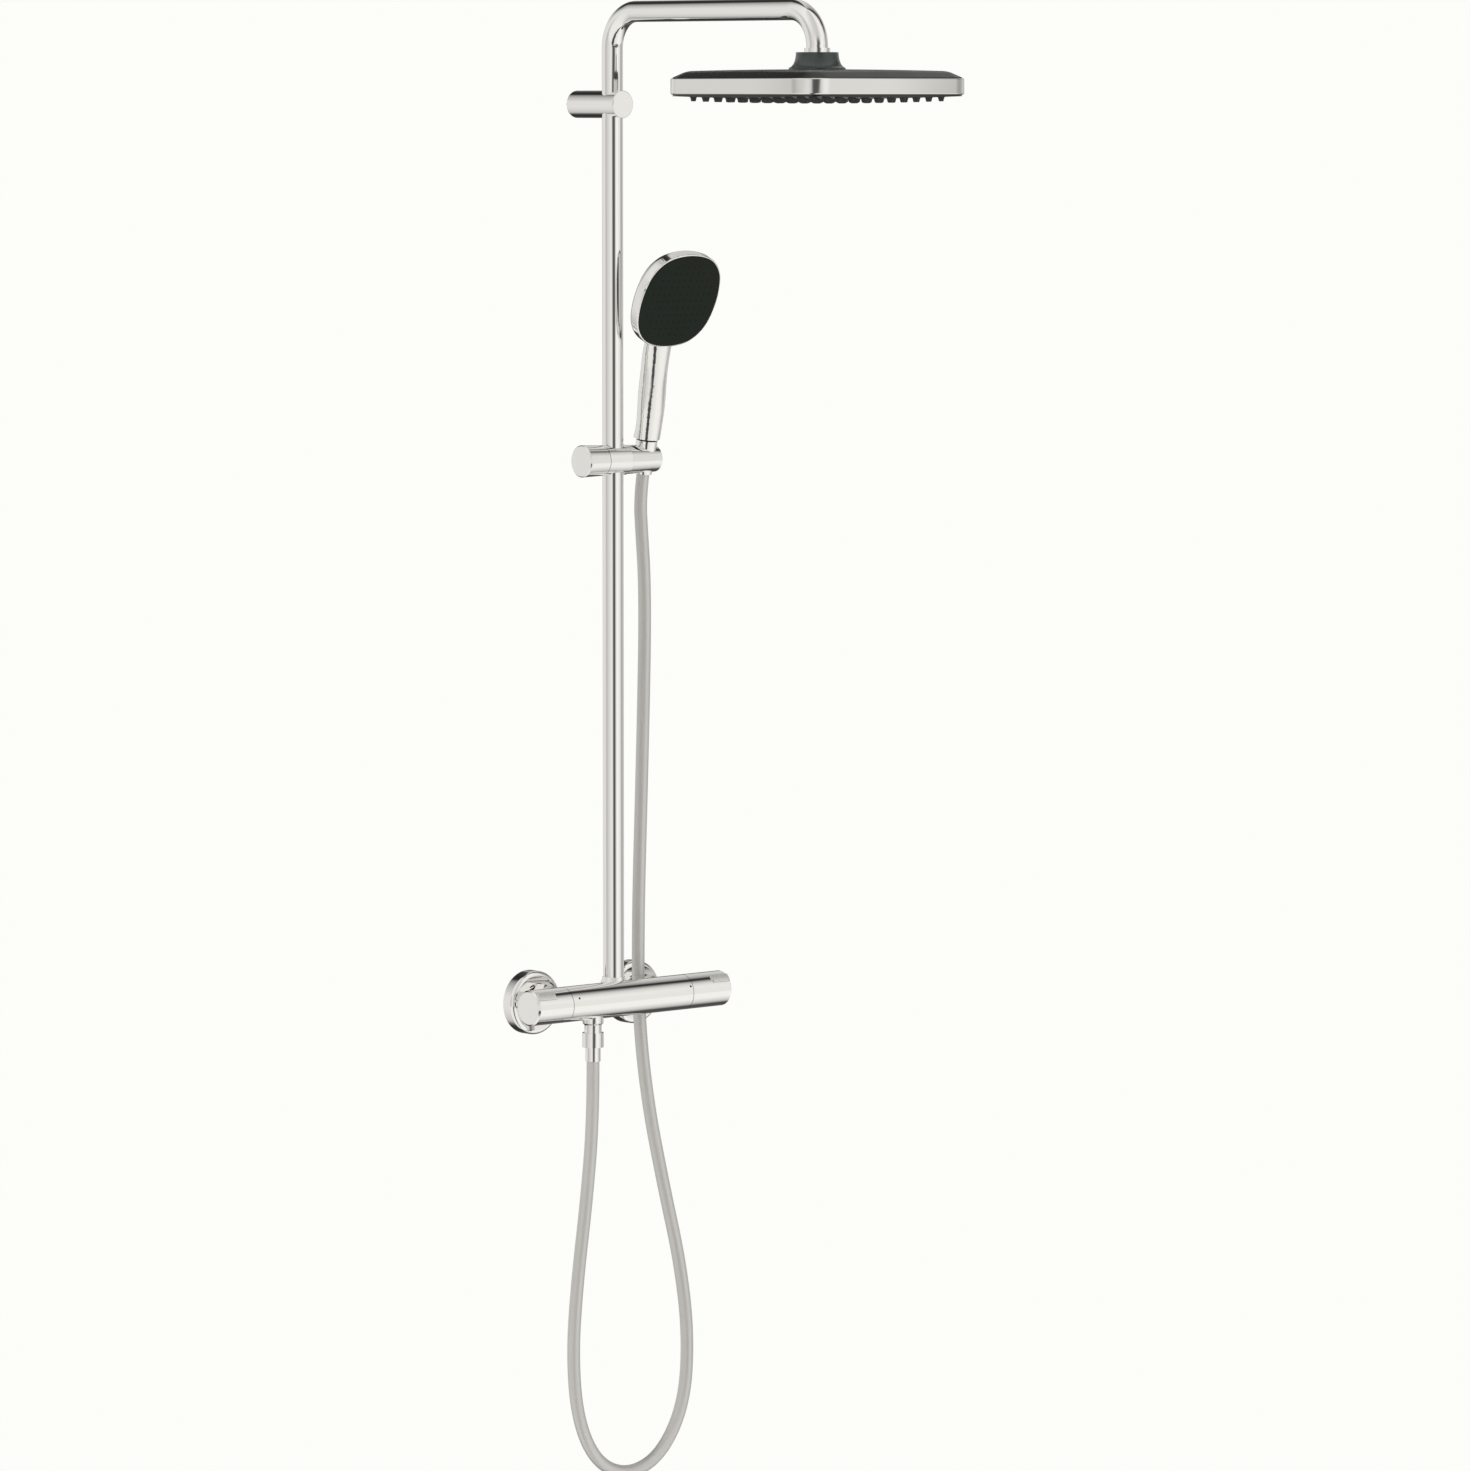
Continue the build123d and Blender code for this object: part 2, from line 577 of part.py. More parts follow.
    # The button's top follows the handle's curve, and a flange keeps it in its window
    with BuildPart() as button:
        with BuildSketch(plate_plane.offset(plate_foot)):
            Rectangle(BUTTON_LENGTH, BUTTON_WIDTH)
        extrude(amount=BUTTON_PLATE)
        turn(plane, rod_profile(0, outward * length, top_r), mode=Mode.INTERSECT)
        with BuildSketch(stem_plane.offset(stem_foot)):
            Rectangle(STEM_LENGTH, BUTTON_WIDTH)
        extrude(amount=STEM_DEPTH + BUTTON_GAP)
        with BuildSketch(stem_plane.offset(stem_foot - BUTTON_FLANGE)):
            Rectangle(STEM_LENGTH + 2 * BUTTON_FLANGE, BUTTON_WIDTH + 2 * BUTTON_FLANGE)
        extrude(amount=BUTTON_FLANGE)
    save(button, button_name)

# Hose outlet nipple under the bar and the hose's lower fitting

outlet_plane = upright(OUTLET_X, BAR_Y, BAR_Z)
boss_foot = -OUTLET_BOSS_DROP - (OUTLET_BOSS_DIA - NIPPLE_DIA) / 2
thread_end = -NIPPLE_DROP - HOSE_THREAD_LENGTH
washer_end = thread_end - HOSE_WASHER_THICKNESS
flange_end = washer_end - FERRULE_FLANGE
hose_nut_end = flange_end - HOSE_NUT_LIP
ferrule_end = washer_end - FERRULE_LENGTH

with BuildPart() as hose_nipple:
    nipple = [
        (boss_foot + NIPPLE_SPIGOT_LENGTH, NIPPLE_BORE / 2),
        (boss_foot + NIPPLE_SPIGOT_LENGTH, NIPPLE_SPIGOT_DIA / 2),
        (boss_foot, NIPPLE_SPIGOT_DIA / 2),
        (boss_foot, NIPPLE_DIA / 2),
        (-NIPPLE_DROP, NIPPLE_DIA / 2),
        (-NIPPLE_DROP, HOSE_THREAD_DIA / 2),
        (thread_end, HOSE_THREAD_DIA / 2),
        (thread_end, NIPPLE_BORE / 2),
    ]
    turn(outlet_plane, nipple)
save(hose_nipple, "hose_nipple")

with BuildPart() as hose_washer:
    turn(outlet_plane, ring_profile(thread_end, washer_end, NIPPLE_BORE / 2, NIPPLE_DIA / 2))
save(hose_washer, "hose_washer")

with BuildPart() as hose_nut:
    nut = [
        (-NIPPLE_DROP, HOSE_THREAD_DIA / 2 + RUN_FIT),
        (-NIPPLE_DROP, HOSE_NUT_DIA / 2),
        (hose_nut_end, HOSE_NUT_DIA / 2),
        (hose_nut_end, FERRULE_DIA / 2 + RUN_FIT),
        (flange_end, FERRULE_DIA / 2 + RUN_FIT),
        (flange_end, HOSE_THREAD_DIA / 2 + RUN_FIT),
    ]
    turn(outlet_plane, nut)
save(hose_nut, "hose_nut")

with BuildPart() as hose_ferrule:
    ferrule = [
        (washer_end, NIPPLE_BORE / 2),
        (washer_end, HOSE_THREAD_DIA / 2),
        (flange_end, HOSE_THREAD_DIA / 2),
        (flange_end, FERRULE_DIA / 2),
        (ferrule_end, FERRULE_DIA / 2),
        (ferrule_end, NIPPLE_BORE / 2),
    ]
    turn(outlet_plane, ferrule)
save(hose_ferrule, "hose_ferrule")

# Riser tube, its flared collar, and the swivel spigot in its top end

riser_plane = upright(0, RISER_Y, BAR_Z)
riser_foot = RISER_BOSS_TOP - RISER_SOCKET
riser_top = BRACKET_HEIGHT - SWIVEL_GAP / 2
arm_foot = BRACKET_HEIGHT + SWIVEL_GAP / 2

with BuildPart() as riser_tube:
    turn(riser_plane, ring_profile(riser_foot, riser_top, RISER_BORE_R, RISER_R))
save(riser_tube, "riser_tube")

with BuildPart() as riser_collar:
    collar_top = RISER_BOSS_TOP + COLLAR_HEIGHT
    collar = [
        (RISER_BOSS_TOP, RISER_R + RUN_FIT),
        (RISER_BOSS_TOP, COLLAR_FLARE_DIA / 2),
        (collar_top, COLLAR_TOP_DIA / 2),
        (collar_top, RISER_R + RUN_FIT),
    ]
    turn(riser_plane, collar)
save(riser_collar, "riser_collar")

with BuildPart() as swivel_spigot:
    spigot_r = RISER_BORE_R - RUN_FIT
    spigot = ring_profile(
        BRACKET_HEIGHT - SPIGOT_REACH, BRACKET_HEIGHT + SPIGOT_REACH, SPIGOT_BORE / 2, spigot_r
    )
    turn(riser_plane, spigot)
    rest_ring = ring_profile(riser_top, arm_foot, SPIGOT_BORE / 2, RISER_R - RUN_FIT)
    turn(riser_plane, rest_ring)
    for step in SEAL_STEPS:
        groove_start = BRACKET_HEIGHT + step
        groove = ring_profile(groove_start, groove_start + SEAL_WIDTH, spigot_r - SEAL_DEPTH, RISER_R)
        turn(riser_plane, groove, mode=Mode.SUBTRACT)
save(swivel_spigot, "swivel_spigot")

with BuildPart() as swivel_o_rings:
    for step in SEAL_STEPS:
        seal_start = BRACKET_HEIGHT + step
        turn(riser_plane, ring_profile(seal_start, seal_start + SEAL_WIDTH, spigot_r - SEAL_DEPTH, spigot_r))
save(swivel_o_rings, "swivel_o_rings")

# Wall bracket: a round arm that slips over a plug screwed to the wall

bracket_front = RISER_FROM_WALL + BRACKET_FRONT
cap_back = bracket_front - BRACKET_CAP_THICKNESS
bracket_plane = into_room(0, BRACKET_Z)

with BuildPart() as bracket_body:
    with BuildSketch(wall_view(0, 0, BRACKET_Z)):
        Circle(BRACKET_DIA / 2)
    extrude(amount=cap_back)
    fillet(bracket_body.edges().sort_by(Axis.Y)[-1], BRACKET_EDGE)
    plug_socket = rod_profile(0, BRACKET_SOCKET_DEPTH, BRACKET_SOCKET_DIA / 2 + RUN_FIT)
    turn(bracket_plane, plug_socket, mode=Mode.SUBTRACT)
    cap_seat = rod_profile(cap_back - CAP_PLUG_LENGTH, cap_back, CAP_PLUG_DIA / 2 + RUN_FIT)
    turn(bracket_plane, cap_seat, mode=Mode.SUBTRACT)
    tube_hole = rod_profile(BRACKET_HEIGHT - BRACKET_DIA, BRACKET_HEIGHT + BRACKET_DIA, RISER_R + RUN_FIT)
    turn(riser_plane, tube_hole, mode=Mode.SUBTRACT)
save(bracket_body, "bracket_body")

with BuildPart() as bracket_cap:
    with BuildSketch(wall_view(0, cap_back, BRACKET_Z)):
        Circle(BRACKET_DIA / 2)
    extrude(amount=BRACKET_CAP_THICKNESS)
    fillet(bracket_cap.edges().sort_by(Axis.Y)[0], BRACKET_CAP_EDGE)
    turn(bracket_plane, rod_profile(cap_back - CAP_PLUG_LENGTH, cap_back, CAP_PLUG_DIA / 2))
save(bracket_cap, "bracket_cap")

with BuildPart() as bracket_wall_plug:
    head_depth = (WALL_SCREW_HEAD - WALL_SCREW_DIA) / 2
    plug = [
        (0, WALL_SCREW_DIA / 2 + RUN_FIT),
        (WALL_PLUG_LENGTH - head_depth, WALL_SCREW_DIA / 2 + RUN_FIT),
        (WALL_PLUG_LENGTH, WALL_SCREW_HEAD / 2 + RUN_FIT),
        (WALL_PLUG_LENGTH, BRACKET_SOCKET_DIA / 2),
        (0, BRACKET_SOCKET_DIA / 2),
    ]
    turn(bracket_plane, plug)
save(bracket_wall_plug, "bracket_wall_plug")

with BuildPart() as bracket_wall_screw:
    wall_screw = [
        (-WALL_SCREW_REACH, 0),
        (-WALL_SCREW_REACH, WALL_THREAD_DIA / 2),
        (0, WALL_THREAD_DIA / 2),
        (0, WALL_SCREW_DIA / 2),
        (WALL_PLUG_LENGTH - head_depth, WALL_SCREW_DIA / 2),
        (WALL_PLUG_LENGTH, WALL_SCREW_HEAD / 2),
        (WALL_PLUG_LENGTH, 0),
    ]
    turn(bracket_plane, wall_screw)
save(bracket_wall_screw, "bracket_wall_screw")

# Shower arm: one tube, up from the bracket, over and down to the head

with BuildPart() as shower_arm:
    with BuildLine() as arm_line:
        FilletPolyline(
            (0, RISER_Y, BAR_Z + arm_foot),
            (0, RISER_Y, BAR_Z + ARM_HEIGHT),
            (0, HEAD_Y, BAR_Z + ARM_HEIGHT),
            (0, HEAD_Y, BAR_Z + ARM_END),
            radius=ARM_BEND_RADIUS,
        )
    with BuildSketch(Plane(origin=(0, RISER_Y, BAR_Z + arm_foot))):
        Circle(RISER_R)
        Circle(RISER_BORE_R, mode=Mode.SUBTRACT)
    sweep()
save(shower_arm, "shower_arm")

# Ball joint: a stud with a ball under the arm, in a seat ring that the head's housing holds

head_plane = upright(0, HEAD_Y, BAR_Z)
ball_r = BALL_DIA / 2
seat_inner = ball_r + RUN_FIT
seat_outer = seat_inner + SEAT_THICKNESS
cup_r = seat_outer + RUN_FIT

with BuildPart() as arm_collar:
    collar_ring = ring_profile(NECK_TOP, ARM_END, STEM_DIA / 2 + RUN_FIT, ARM_COLLAR_DIA / 2)
    turn(head_plane, collar_ring)
save(arm_collar, "arm_collar")

with BuildPart() as ball_stud:
    with Locations((0, HEAD_Y, BALL_Z)):
        Sphere(ball_r)
    turn(head_plane, rod_profile(BALL_HEIGHT, ARM_END + STUD_PLUG_LENGTH, STEM_DIA / 2))
    turn(head_plane, rod_profile(ARM_END, ARM_END + STUD_PLUG_LENGTH, STUD_PLUG_DIA / 2))
    stud_bore = rod_profile(BALL_HEIGHT - BALL_DIA, ARM_END + STUD_PLUG_LENGTH, STEM_BORE / 2)
    turn(head_plane, stud_bore, mode=Mode.SUBTRACT)
save(ball_stud, "ball_stud")

with BuildPart() as ball_seat:
    with Locations((0, HEAD_Y, BALL_Z)):
        Sphere(seat_outer)
        Sphere(seat_inner, mode=Mode.SUBTRACT)
    seat_zone = rod_profile(BALL_HEIGHT - SEAT_BELOW, BALL_HEIGHT + SEAT_ABOVE, seat_outer + PART_GAP)
    turn(head_plane, seat_zone, mode=Mode.INTERSECT)
save(ball_seat, "ball_seat")

with BuildPart() as ball_housing:
    neck = [
        (SHELL_CROWN - NECK_SPIGOT_LENGTH, 0),
        (SHELL_CROWN - NECK_SPIGOT_LENGTH, NECK_SPIGOT_DIA / 2),
        (SHELL_CROWN, NECK_SPIGOT_DIA / 2),
        (SHELL_CROWN, NECK_FOOT_DIA / 2),
        (SHELL_CROWN + NECK_FOOT_LIP, NECK_FOOT_DIA / 2),
    ]
    with BuildSketch(head_plane) as neck_section:
        with BuildLine():
            Polyline(*neck)
            Spline(
                (SHELL_CROWN + NECK_FOOT_LIP, NECK_FOOT_DIA / 2),
                (NECK_TOP, NECK_TOP_DIA / 2),
                tangents=((0.35, -1), (1, -0.08)),
            )
            Polyline((NECK_TOP, NECK_TOP_DIA / 2), (NECK_TOP, 0), neck[0])
        make_face()
    revolve(axis=Axis(head_plane.origin, head_plane.x_dir))
    recess = rod_profile(NECK_TOP - NECK_RECESS_DEPTH, NECK_TOP, NECK_RECESS_DIA / 2)
    turn(head_plane, recess, mode=Mode.SUBTRACT)
    with Locations((0, HEAD_Y, BALL_Z)):
        Sphere(cup_r, mode=Mode.SUBTRACT)
    retainer_hole = rod_profile(SHELL_CROWN - NECK_SPIGOT_LENGTH, BALL_HEIGHT, RETAINER_DIA / 2 + RUN_FIT)
    turn(head_plane, retainer_hole, mode=Mode.SUBTRACT)
save(ball_housing, "ball_housing")

with BuildPart() as ball_retainer:
    turn(head_plane, rod_profile(SHELL_CROWN - NECK_SPIGOT_LENGTH, BALL_HEIGHT, RETAINER_DIA / 2))
    with Locations((0, HEAD_Y, BALL_Z)):
        Sphere(cup_r, mode=Mode.SUBTRACT)
    water_hole = rod_profile(SHELL_CROWN - NECK_SPIGOT_LENGTH, BALL_HEIGHT, ball_r - STEM_BORE / 3)
    turn(head_plane, water_hole, mode=Mode.SUBTRACT)
save(ball_retainer, "ball_retainer")

# Rain head: a bright band round a domed top shell and a bowed spray plate

nest = RIM_WALL + RUN_FIT


def head_sketch(height):
    """Level plane of the rain head at that height over the bar."""
    return Plane(origin=(0, HEAD_Y, BAR_Z + height))


def pillow(crown, inset):
    """Rounded square block from the seam up, with sloping shoulders and an arched top, flat under the neck."""
    flat = NECK_FOOT_DIA / 2
    middle = crown + flat**2 / (2 * SHELL_ARCH_RADIUS) - SHELL_ARCH_RADIUS
    edge = crown - SHELL_RISE
    slope = SHELL_RISE * tan(radians(SHELL_DRAFT))
    with BuildPart() as block:
        with BuildSketch(head_sketch(SHELL_SEAM)):
            bowed_square(HEAD_SIDE, HEAD_SIDE_RADIUS, HEAD_CORNER_RADIUS, inset)
        extrude(amount=edge - SHELL_SEAM)
        with BuildSketch(head_sketch(edge)):
            bowed_square(HEAD_SIDE, HEAD_SIDE_RADIUS, HEAD_CORNER_RADIUS, inset)
        with BuildSketch(head_sketch(crown)):
            bowed_square(HEAD_SIDE, HEAD_SIDE_RADIUS, HEAD_CORNER_RADIUS, inset + slope)
        loft(ruled=True)
        with Locations((0, HEAD_Y, BAR_Z + middle)):
            Sphere(SHELL_ARCH_RADIUS, mode=Mode.INTERSECT)
    return block.part


with BuildPart() as head_rim:
    with BuildSketch(head_sketch(RIM_BOTTOM)):
        bowed_square(HEAD_SIDE, HEAD_SIDE_RADIUS, HEAD_CORNER_RADIUS)
    extrude(amount=RIM_HEIGHT)
    fillet(head_rim.faces().sort_by(Axis.Z)[0].outer_wire().edges(), RIM_ROUND)
    fillet(head_rim.faces().sort_by(Axis.Z)[-1].outer_wire().edges(), RIM_ROUND)
    with BuildSketch(head_sketch(RIM_BOTTOM)):
        bowed_square(HEAD_SIDE, HEAD_SIDE_RADIUS, HEAD_CORNER_RADIUS, RIM_WALL)
    extrude(amount=RIM_HEIGHT, mode=Mode.SUBTRACT)
save(head_rim, "head_rim")

with BuildPart() as head_top_shell:
    add(pillow(SHELL_CROWN, nest))
    shoulder = [
        e
        for e in head_top_shell.edges()
        if e.center().Z > BAR_Z + SHELL_EDGE + SHELL_RISE / 2
        and (e.center() - Vector(0, HEAD_Y, e.center().Z)).length > NECK_FOOT_DIA
    ]
    fillet(shoulder, SHELL_SHOULDER)
    add(pillow(SHELL_CROWN - SHELL_WALL, nest + SHELL_WALL), mode=Mode.SUBTRACT)
    spigot_hole = rod_profile(SHELL_SEAM, SHELL_CROWN, NECK_SPIGOT_DIA / 2 + RUN_FIT)
    turn(head_plane, spigot_hole, mode=Mode.SUBTRACT)
save(head_top_shell, "head_top_shell")

plate_reach = SHELL_EDGE_REACH
plate_radius = (plate_reach**2 + PLATE_BOW**2) / (2 * PLATE_BOW)


def plate_height(distance):
    """Height of the spray plate's lower face at that distance from the head's axis."""
    return PLATE_CENTRE + plate_radius - sqrt(plate_radius**2 - distance**2)


with BuildPart() as spray_plate:
    with BuildSketch(head_sketch(PLATE_CENTRE)):
        bowed_square(HEAD_SIDE, HEAD_SIDE_RADIUS, HEAD_CORNER_RADIUS, nest)
    extrude(amount=SHELL_SEAM - PLATE_CENTRE)
    with BuildSketch(head_sketch(PLATE_EDGE + PLATE_THICKNESS)):
        bowed_square(HEAD_SIDE, HEAD_SIDE_RADIUS, HEAD_CORNER_RADIUS, nest + SHELL_WALL)
    extrude(amount=SHELL_SEAM - PLATE_EDGE, mode=Mode.SUBTRACT)
    with Locations((0, HEAD_Y, BAR_Z + PLATE_CENTRE + plate_radius)):
        Sphere(plate_radius, mode=Mode.INTERSECT)
save(spray_plate, "spray_plate")

# Nozzles stand square to the bowed plate, on a grid

with BuildPart() as spray_nozzles:
    first = -NOZZLE_PITCH * (NOZZLE_ROWS - 1) / 2
    for row in range(NOZZLE_ROWS):
        for column in range(NOZZLE_ROWS):
            x = first + column * NOZZLE_PITCH
            y = first + row * NOZZLE_PITCH
            z = plate_height(sqrt(x * x + y * y))
            outward = Vector(x, y, z - PLATE_CENTRE - plate_radius)
            seat = Plane(origin=(x, HEAD_Y + y, BAR_Z + z), x_dir=(1, 0, 0), z_dir=outward)
            with Locations(seat):
                Cone(
                    NOZZLE_BASE_DIA / 2,
                    NOZZLE_TIP_DIA / 2,
                    NOZZLE_LENGTH,
                    align=(Align.CENTER, Align.CENTER, Align.MIN),
                )
save(spray_nozzles, "spray_nozzles")

# Slider: a split sleeve on the riser, a body that swivels on it, a clamp knob on the left
# and a tilting holder on the right

slider_plane = along_slider()
sleeve_inner = RISER_R + RUN_FIT
sleeve_outer = sleeve_inner + SLEEVE_WALL
body_bore = sleeve_outer + RUN_FIT
slider_r = SLIDER_DIA / 2
sleeve_plane = upright(0, RISER_Y, SLIDER_Z)

with BuildPart() as clamp_sleeve:
    turn(sleeve_plane, ring_profile(-SLEEVE_HALF_HEIGHT, SLEEVE_HALF_HEIGHT, sleeve_inner, sleeve_outer))
    with BuildSketch(Plane(origin=(0, RISER_Y + sleeve_outer, SLIDER_Z - SLEEVE_HALF_HEIGHT))):
        Rectangle(SLEEVE_SLOT, 2 * SLEEVE_WALL + SLEEVE_SLOT)
    extrude(amount=2 * SLEEVE_HALF_HEIGHT, mode=Mode.SUBTRACT)
save(clamp_sleeve, "clamp_sleeve")

with BuildPart() as slider_body:
    turn(slider_plane, rod_profile(-SLIDER_LEFT, SLIDER_RIGHT, slider_r))
    turn(slider_plane, rod_profile(-SLIDER_LEFT - KNOB_POST_LENGTH, 0, KNOB_POST_DIA / 2))
    turn(slider_plane, rod_profile(0, SLIDER_RIGHT + PIVOT_LENGTH, PIVOT_DIA / 2))
    spindle_hole = rod_profile(-SLIDER_LEFT - KNOB_POST_LENGTH, 0, SPINDLE_BORE / 2)
    turn(slider_plane, spindle_hole, mode=Mode.SUBTRACT)
    turn(sleeve_plane, rod_profile(-SLIDER_DIA, SLIDER_DIA, body_bore), mode=Mode.SUBTRACT)
save(slider_body, "slider_body")

with BuildPart() as brake_pad:
    pad_end = -sleeve_outer - RUN_FIT
    turn(slider_plane, rod_profile(pad_end - BRAKE_PAD_LENGTH, pad_end, SPINDLE_BORE / 2 - RUN_FIT))
save(brake_pad, "brake_pad")

# The knob is a cup over the body's post, with a spindle that reaches the brake pad
with BuildPart() as clamp_knob:
    knob_face = -SLIDER_LEFT - PART_GAP
    post_end = -SLIDER_LEFT - KNOB_POST_LENGTH - PART_GAP
    knob = [
        (knob_face, 0),
        (knob_face, slider_r),
        (KNOB_BEVEL - KNOB_END, KNOB_DIA / 2),
        (-KNOB_END, KNOB_DIA / 2 - KNOB_BEVEL),
        (-KNOB_END, 0),
    ]
    turn(slider_plane, knob)
    turn(slider_plane, rod_profile(post_end, knob_face, KNOB_POST_DIA / 2 + RUN_FIT), mode=Mode.SUBTRACT)
    spindle_end = pad_end - BRAKE_PAD_LENGTH - PART_GAP
    turn(slider_plane, rod_profile(post_end, spindle_end, SPINDLE_BORE / 2 - RUN_FIT))
save(clamp_knob, "clamp_knob")

# Handset frame: its Z axis runs up the handle, leaning into the room, and its Y axis faces the wall
lean = radians(HANDSET_LEAN)
handset_axis = Vector(0, -sin(lean), cos(lean))
cone_point = Vector(CONE_FROM_RISER, RISER_Y, SLIDER_Z)
cone_plane = Plane(origin=cone_point, x_dir=handset_axis, z_dir=(1, 0, 0))


def cone_radius(height):
    """Radius of the hose cone at that height along the handset's axis."""
    return CONE_MID_DIA / 2 + CONE_TAPER * height


with BuildPart() as handset_holder:
    holder_face = SLIDER_RIGHT + PART_GAP
    holder = [
        (holder_face, 0),
        (holder_face, HOLDER_DIA / 2),
        (HOLDER_END - HOLDER_BEVEL, HOLDER_END_DIA / 2),
        (HOLDER_END, HOLDER_END_DIA / 2 - HOLDER_BEVEL),
        (HOLDER_END, 0),
    ]
    turn(slider_plane, holder)
    pivot_end = SLIDER_RIGHT + PIVOT_LENGTH + PART_GAP
    turn(slider_plane, rod_profile(holder_face, pivot_end, PIVOT_DIA / 2 + RUN_FIT), mode=Mode.SUBTRACT)
    cone_hole = [
        (-HOLDER_DIA, 0),
        (HOLDER_DIA, 0),
        (HOLDER_DIA, cone_radius(HOLDER_DIA) + CONE_FIT),
        (-HOLDER_DIA, cone_radius(-HOLDER_DIA) + CONE_FIT),
    ]
    turn(cone_plane, cone_hole, mode=Mode.SUBTRACT)
    # The hose slips in from the wall side
    slot_plane = Plane(origin=cone_point - handset_axis * HOLDER_DIA, x_dir=(1, 0, 0), z_dir=handset_axis)
    with BuildSketch(slot_plane):
        with Locations((0, HOLDER_DIA / 2)):
            Rectangle(HOSE_SLOT, HOLDER_DIA)
    extrude(amount=2 * HOLDER_DIA, mode=Mode.SUBTRACT)
save(handset_holder, "handset_holder")

with BuildPart() as hose_cone_nut:
    cone = [
        (-CONE_BELOW, CONE_BORE / 2),
        (CONE_ABOVE, CONE_BORE / 2),
        (CONE_ABOVE, cone_radius(CONE_SHOULDER)),
        (CONE_SHOULDER, cone_radius(CONE_SHOULDER)),
        (-CONE_BELOW, cone_radius(-CONE_BELOW)),
    ]
    turn(cone_plane, cone)
save(hose_cone_nut, "hose_cone_nut")

with BuildPart() as handset_washer:
    washer_top = CONE_ABOVE + HANDSET_WASHER
    turn(cone_plane, ring_profile(CONE_ABOVE, washer_top, CONE_BORE / 2, HANDSET_WASHER_DIA / 2))
save(handset_washer, "handset_washer")

# Hand shower: a lofted handle that runs into a rounded square head
handle_foot = CONE_ABOVE + HANDSET_WASHER
face_tilt = radians(FACE_TILT)
face_point = cone_point + Vector(0, -FACE_FORWARD, FACE_RISE)
face_up = Vector(0, -sin(face_tilt), cos(face_tilt))
face_out = Vector(0, -cos(face_tilt), -sin(face_tilt))
face_plane = Plane(origin=face_point, x_dir=(1, 0, 0), z_dir=face_out)


def handle_section(height):
    """Plane across the handle at that height along its axis."""
    return Plane(origin=cone_point + handset_axis * height, x_dir=(1, 0, 0), z_dir=handset_axis)


def neck_section_plane(below, behind):
    """Plane across the handset's neck, below the face's middle and behind its front."""
    return Plane(origin=face_point - face_up * below - face_out * behind, x_dir=(1, 0, 0), z_dir=face_up)


with BuildPart() as handset_shell:
    with BuildSketch(face_plane):
        bowed_square(FACE_SIDE, FACE_SIDE_RADIUS, FACE_CORNER_RADIUS)
    extrude(amount=-HANDSET_DEPTH)
    back = handset_shell.faces().sort_by(Axis(face_point, face_out))[0]
    fillet(back.outer_wire().edges(), HANDSET_BACK_ROUND)
    front = handset_shell.faces().sort_by(Axis(face_point, face_out))[-1]
    fillet(front.outer_wire().edges(), HANDSET_FRONT_ROUND)
    with BuildSketch(handle_section(handle_foot)):
        Ellipse(HANDLE_FOOT_WIDTH / 2, HANDLE_FOOT_DEPTH / 2)
    with BuildSketch(handle_section(HANDLE_WAIST)):
        Ellipse(HANDLE_WAIST_WIDTH / 2, HANDLE_WAIST_DEPTH / 2)
    with BuildSketch(handle_section(HANDLE_TOP)):
        Ellipse(HANDLE_TOP_WIDTH / 2, HANDLE_TOP_DEPTH / 2)
    with BuildSketch(neck_section_plane(FACE_SIDE / 4, HANDSET_DEPTH / 2 + FACE_THICKNESS / 2)):
        Ellipse(HANDLE_TOP_WIDTH / 2, HANDSET_DEPTH / 3)
    loft()
    with BuildSketch(face_plane):
        bowed_square(FACE_SIDE, FACE_SIDE_RADIUS, FACE_CORNER_RADIUS, FACE_MARGIN - RUN_FIT)
    extrude(amount=-FACE_THICKNESS, mode=Mode.SUBTRACT)
    with BuildSketch(handle_section(handle_foot)):
        Circle(HANDLE_BORE / 2)
    extrude(amount=HANDLE_BORE_LENGTH, mode=Mode.SUBTRACT)
save(handset_shell, "handset_shell")

with BuildPart() as handset_face:
    with BuildSketch(face_plane.offset(-FACE_THICKNESS)):
        bowed_square(FACE_SIDE, FACE_SIDE_RADIUS, FACE_CORNER_RADIUS, FACE_MARGIN)
    extrude(amount=FACE_THICKNESS + FACE_PROUD)
    front = handset_face.faces().sort_by(Axis(face_point, face_out))[-1]
    fillet(front.outer_wire().edges(), FACE_PROUD)
save(handset_face, "handset_face")

# Shower hose: it hangs from the cone, passes behind the bar and loops up to the outlet.
# Points are (x, y, height over the bar), from the outlet to the hand shower.

HOSE_POINTS = [
    (-54.0, -77.0, -225.0),
    (-68.0, -77.0, -315.0),
    (-75.5, -77.0, -400.0),
    (-67.5, -77.0, -475.0),
    (-38.5, -76.5, -527.0),
    (9.0, -76.0, -546.0),
    (60.0, -74.0, -530.0),
    (98.5, -71.0, -475.0),
    (108.0, -67.0, -396.0),
    (99.0, -63.0, -312.0),
    (79.0, -57.0, -222.0),
    (60.0, -50.5, -122.0),
    (50.8, -46.0, -20.0),
    (50.4, -46.8, 95.0),
    (53.8, -47.8, 210.0),
    (57.0, -48.4, 320.0),
    (58.8, -49.0, 410.0),
    (57.6, -49.8, 474.0),
    (52.0, -51.6, 524.0),
]
HOSE_LEAD = 66.0
HOSE_TAIL = 30.0

hose_start = Vector(OUTLET_X, BAR_Y, BAR_Z + ferrule_end)
hose_end = cone_point - handset_axis * CONE_BELOW
hose_middle = [Vector(x, y, BAR_Z + z) for x, y, z in HOSE_POINTS]
hose_lead = hose_start - Vector(0, 0, HOSE_LEAD)
hose_tail = hose_end - handset_axis * HOSE_TAIL
hose_route = [hose_start, hose_lead] + hose_middle + [hose_tail, hose_end]


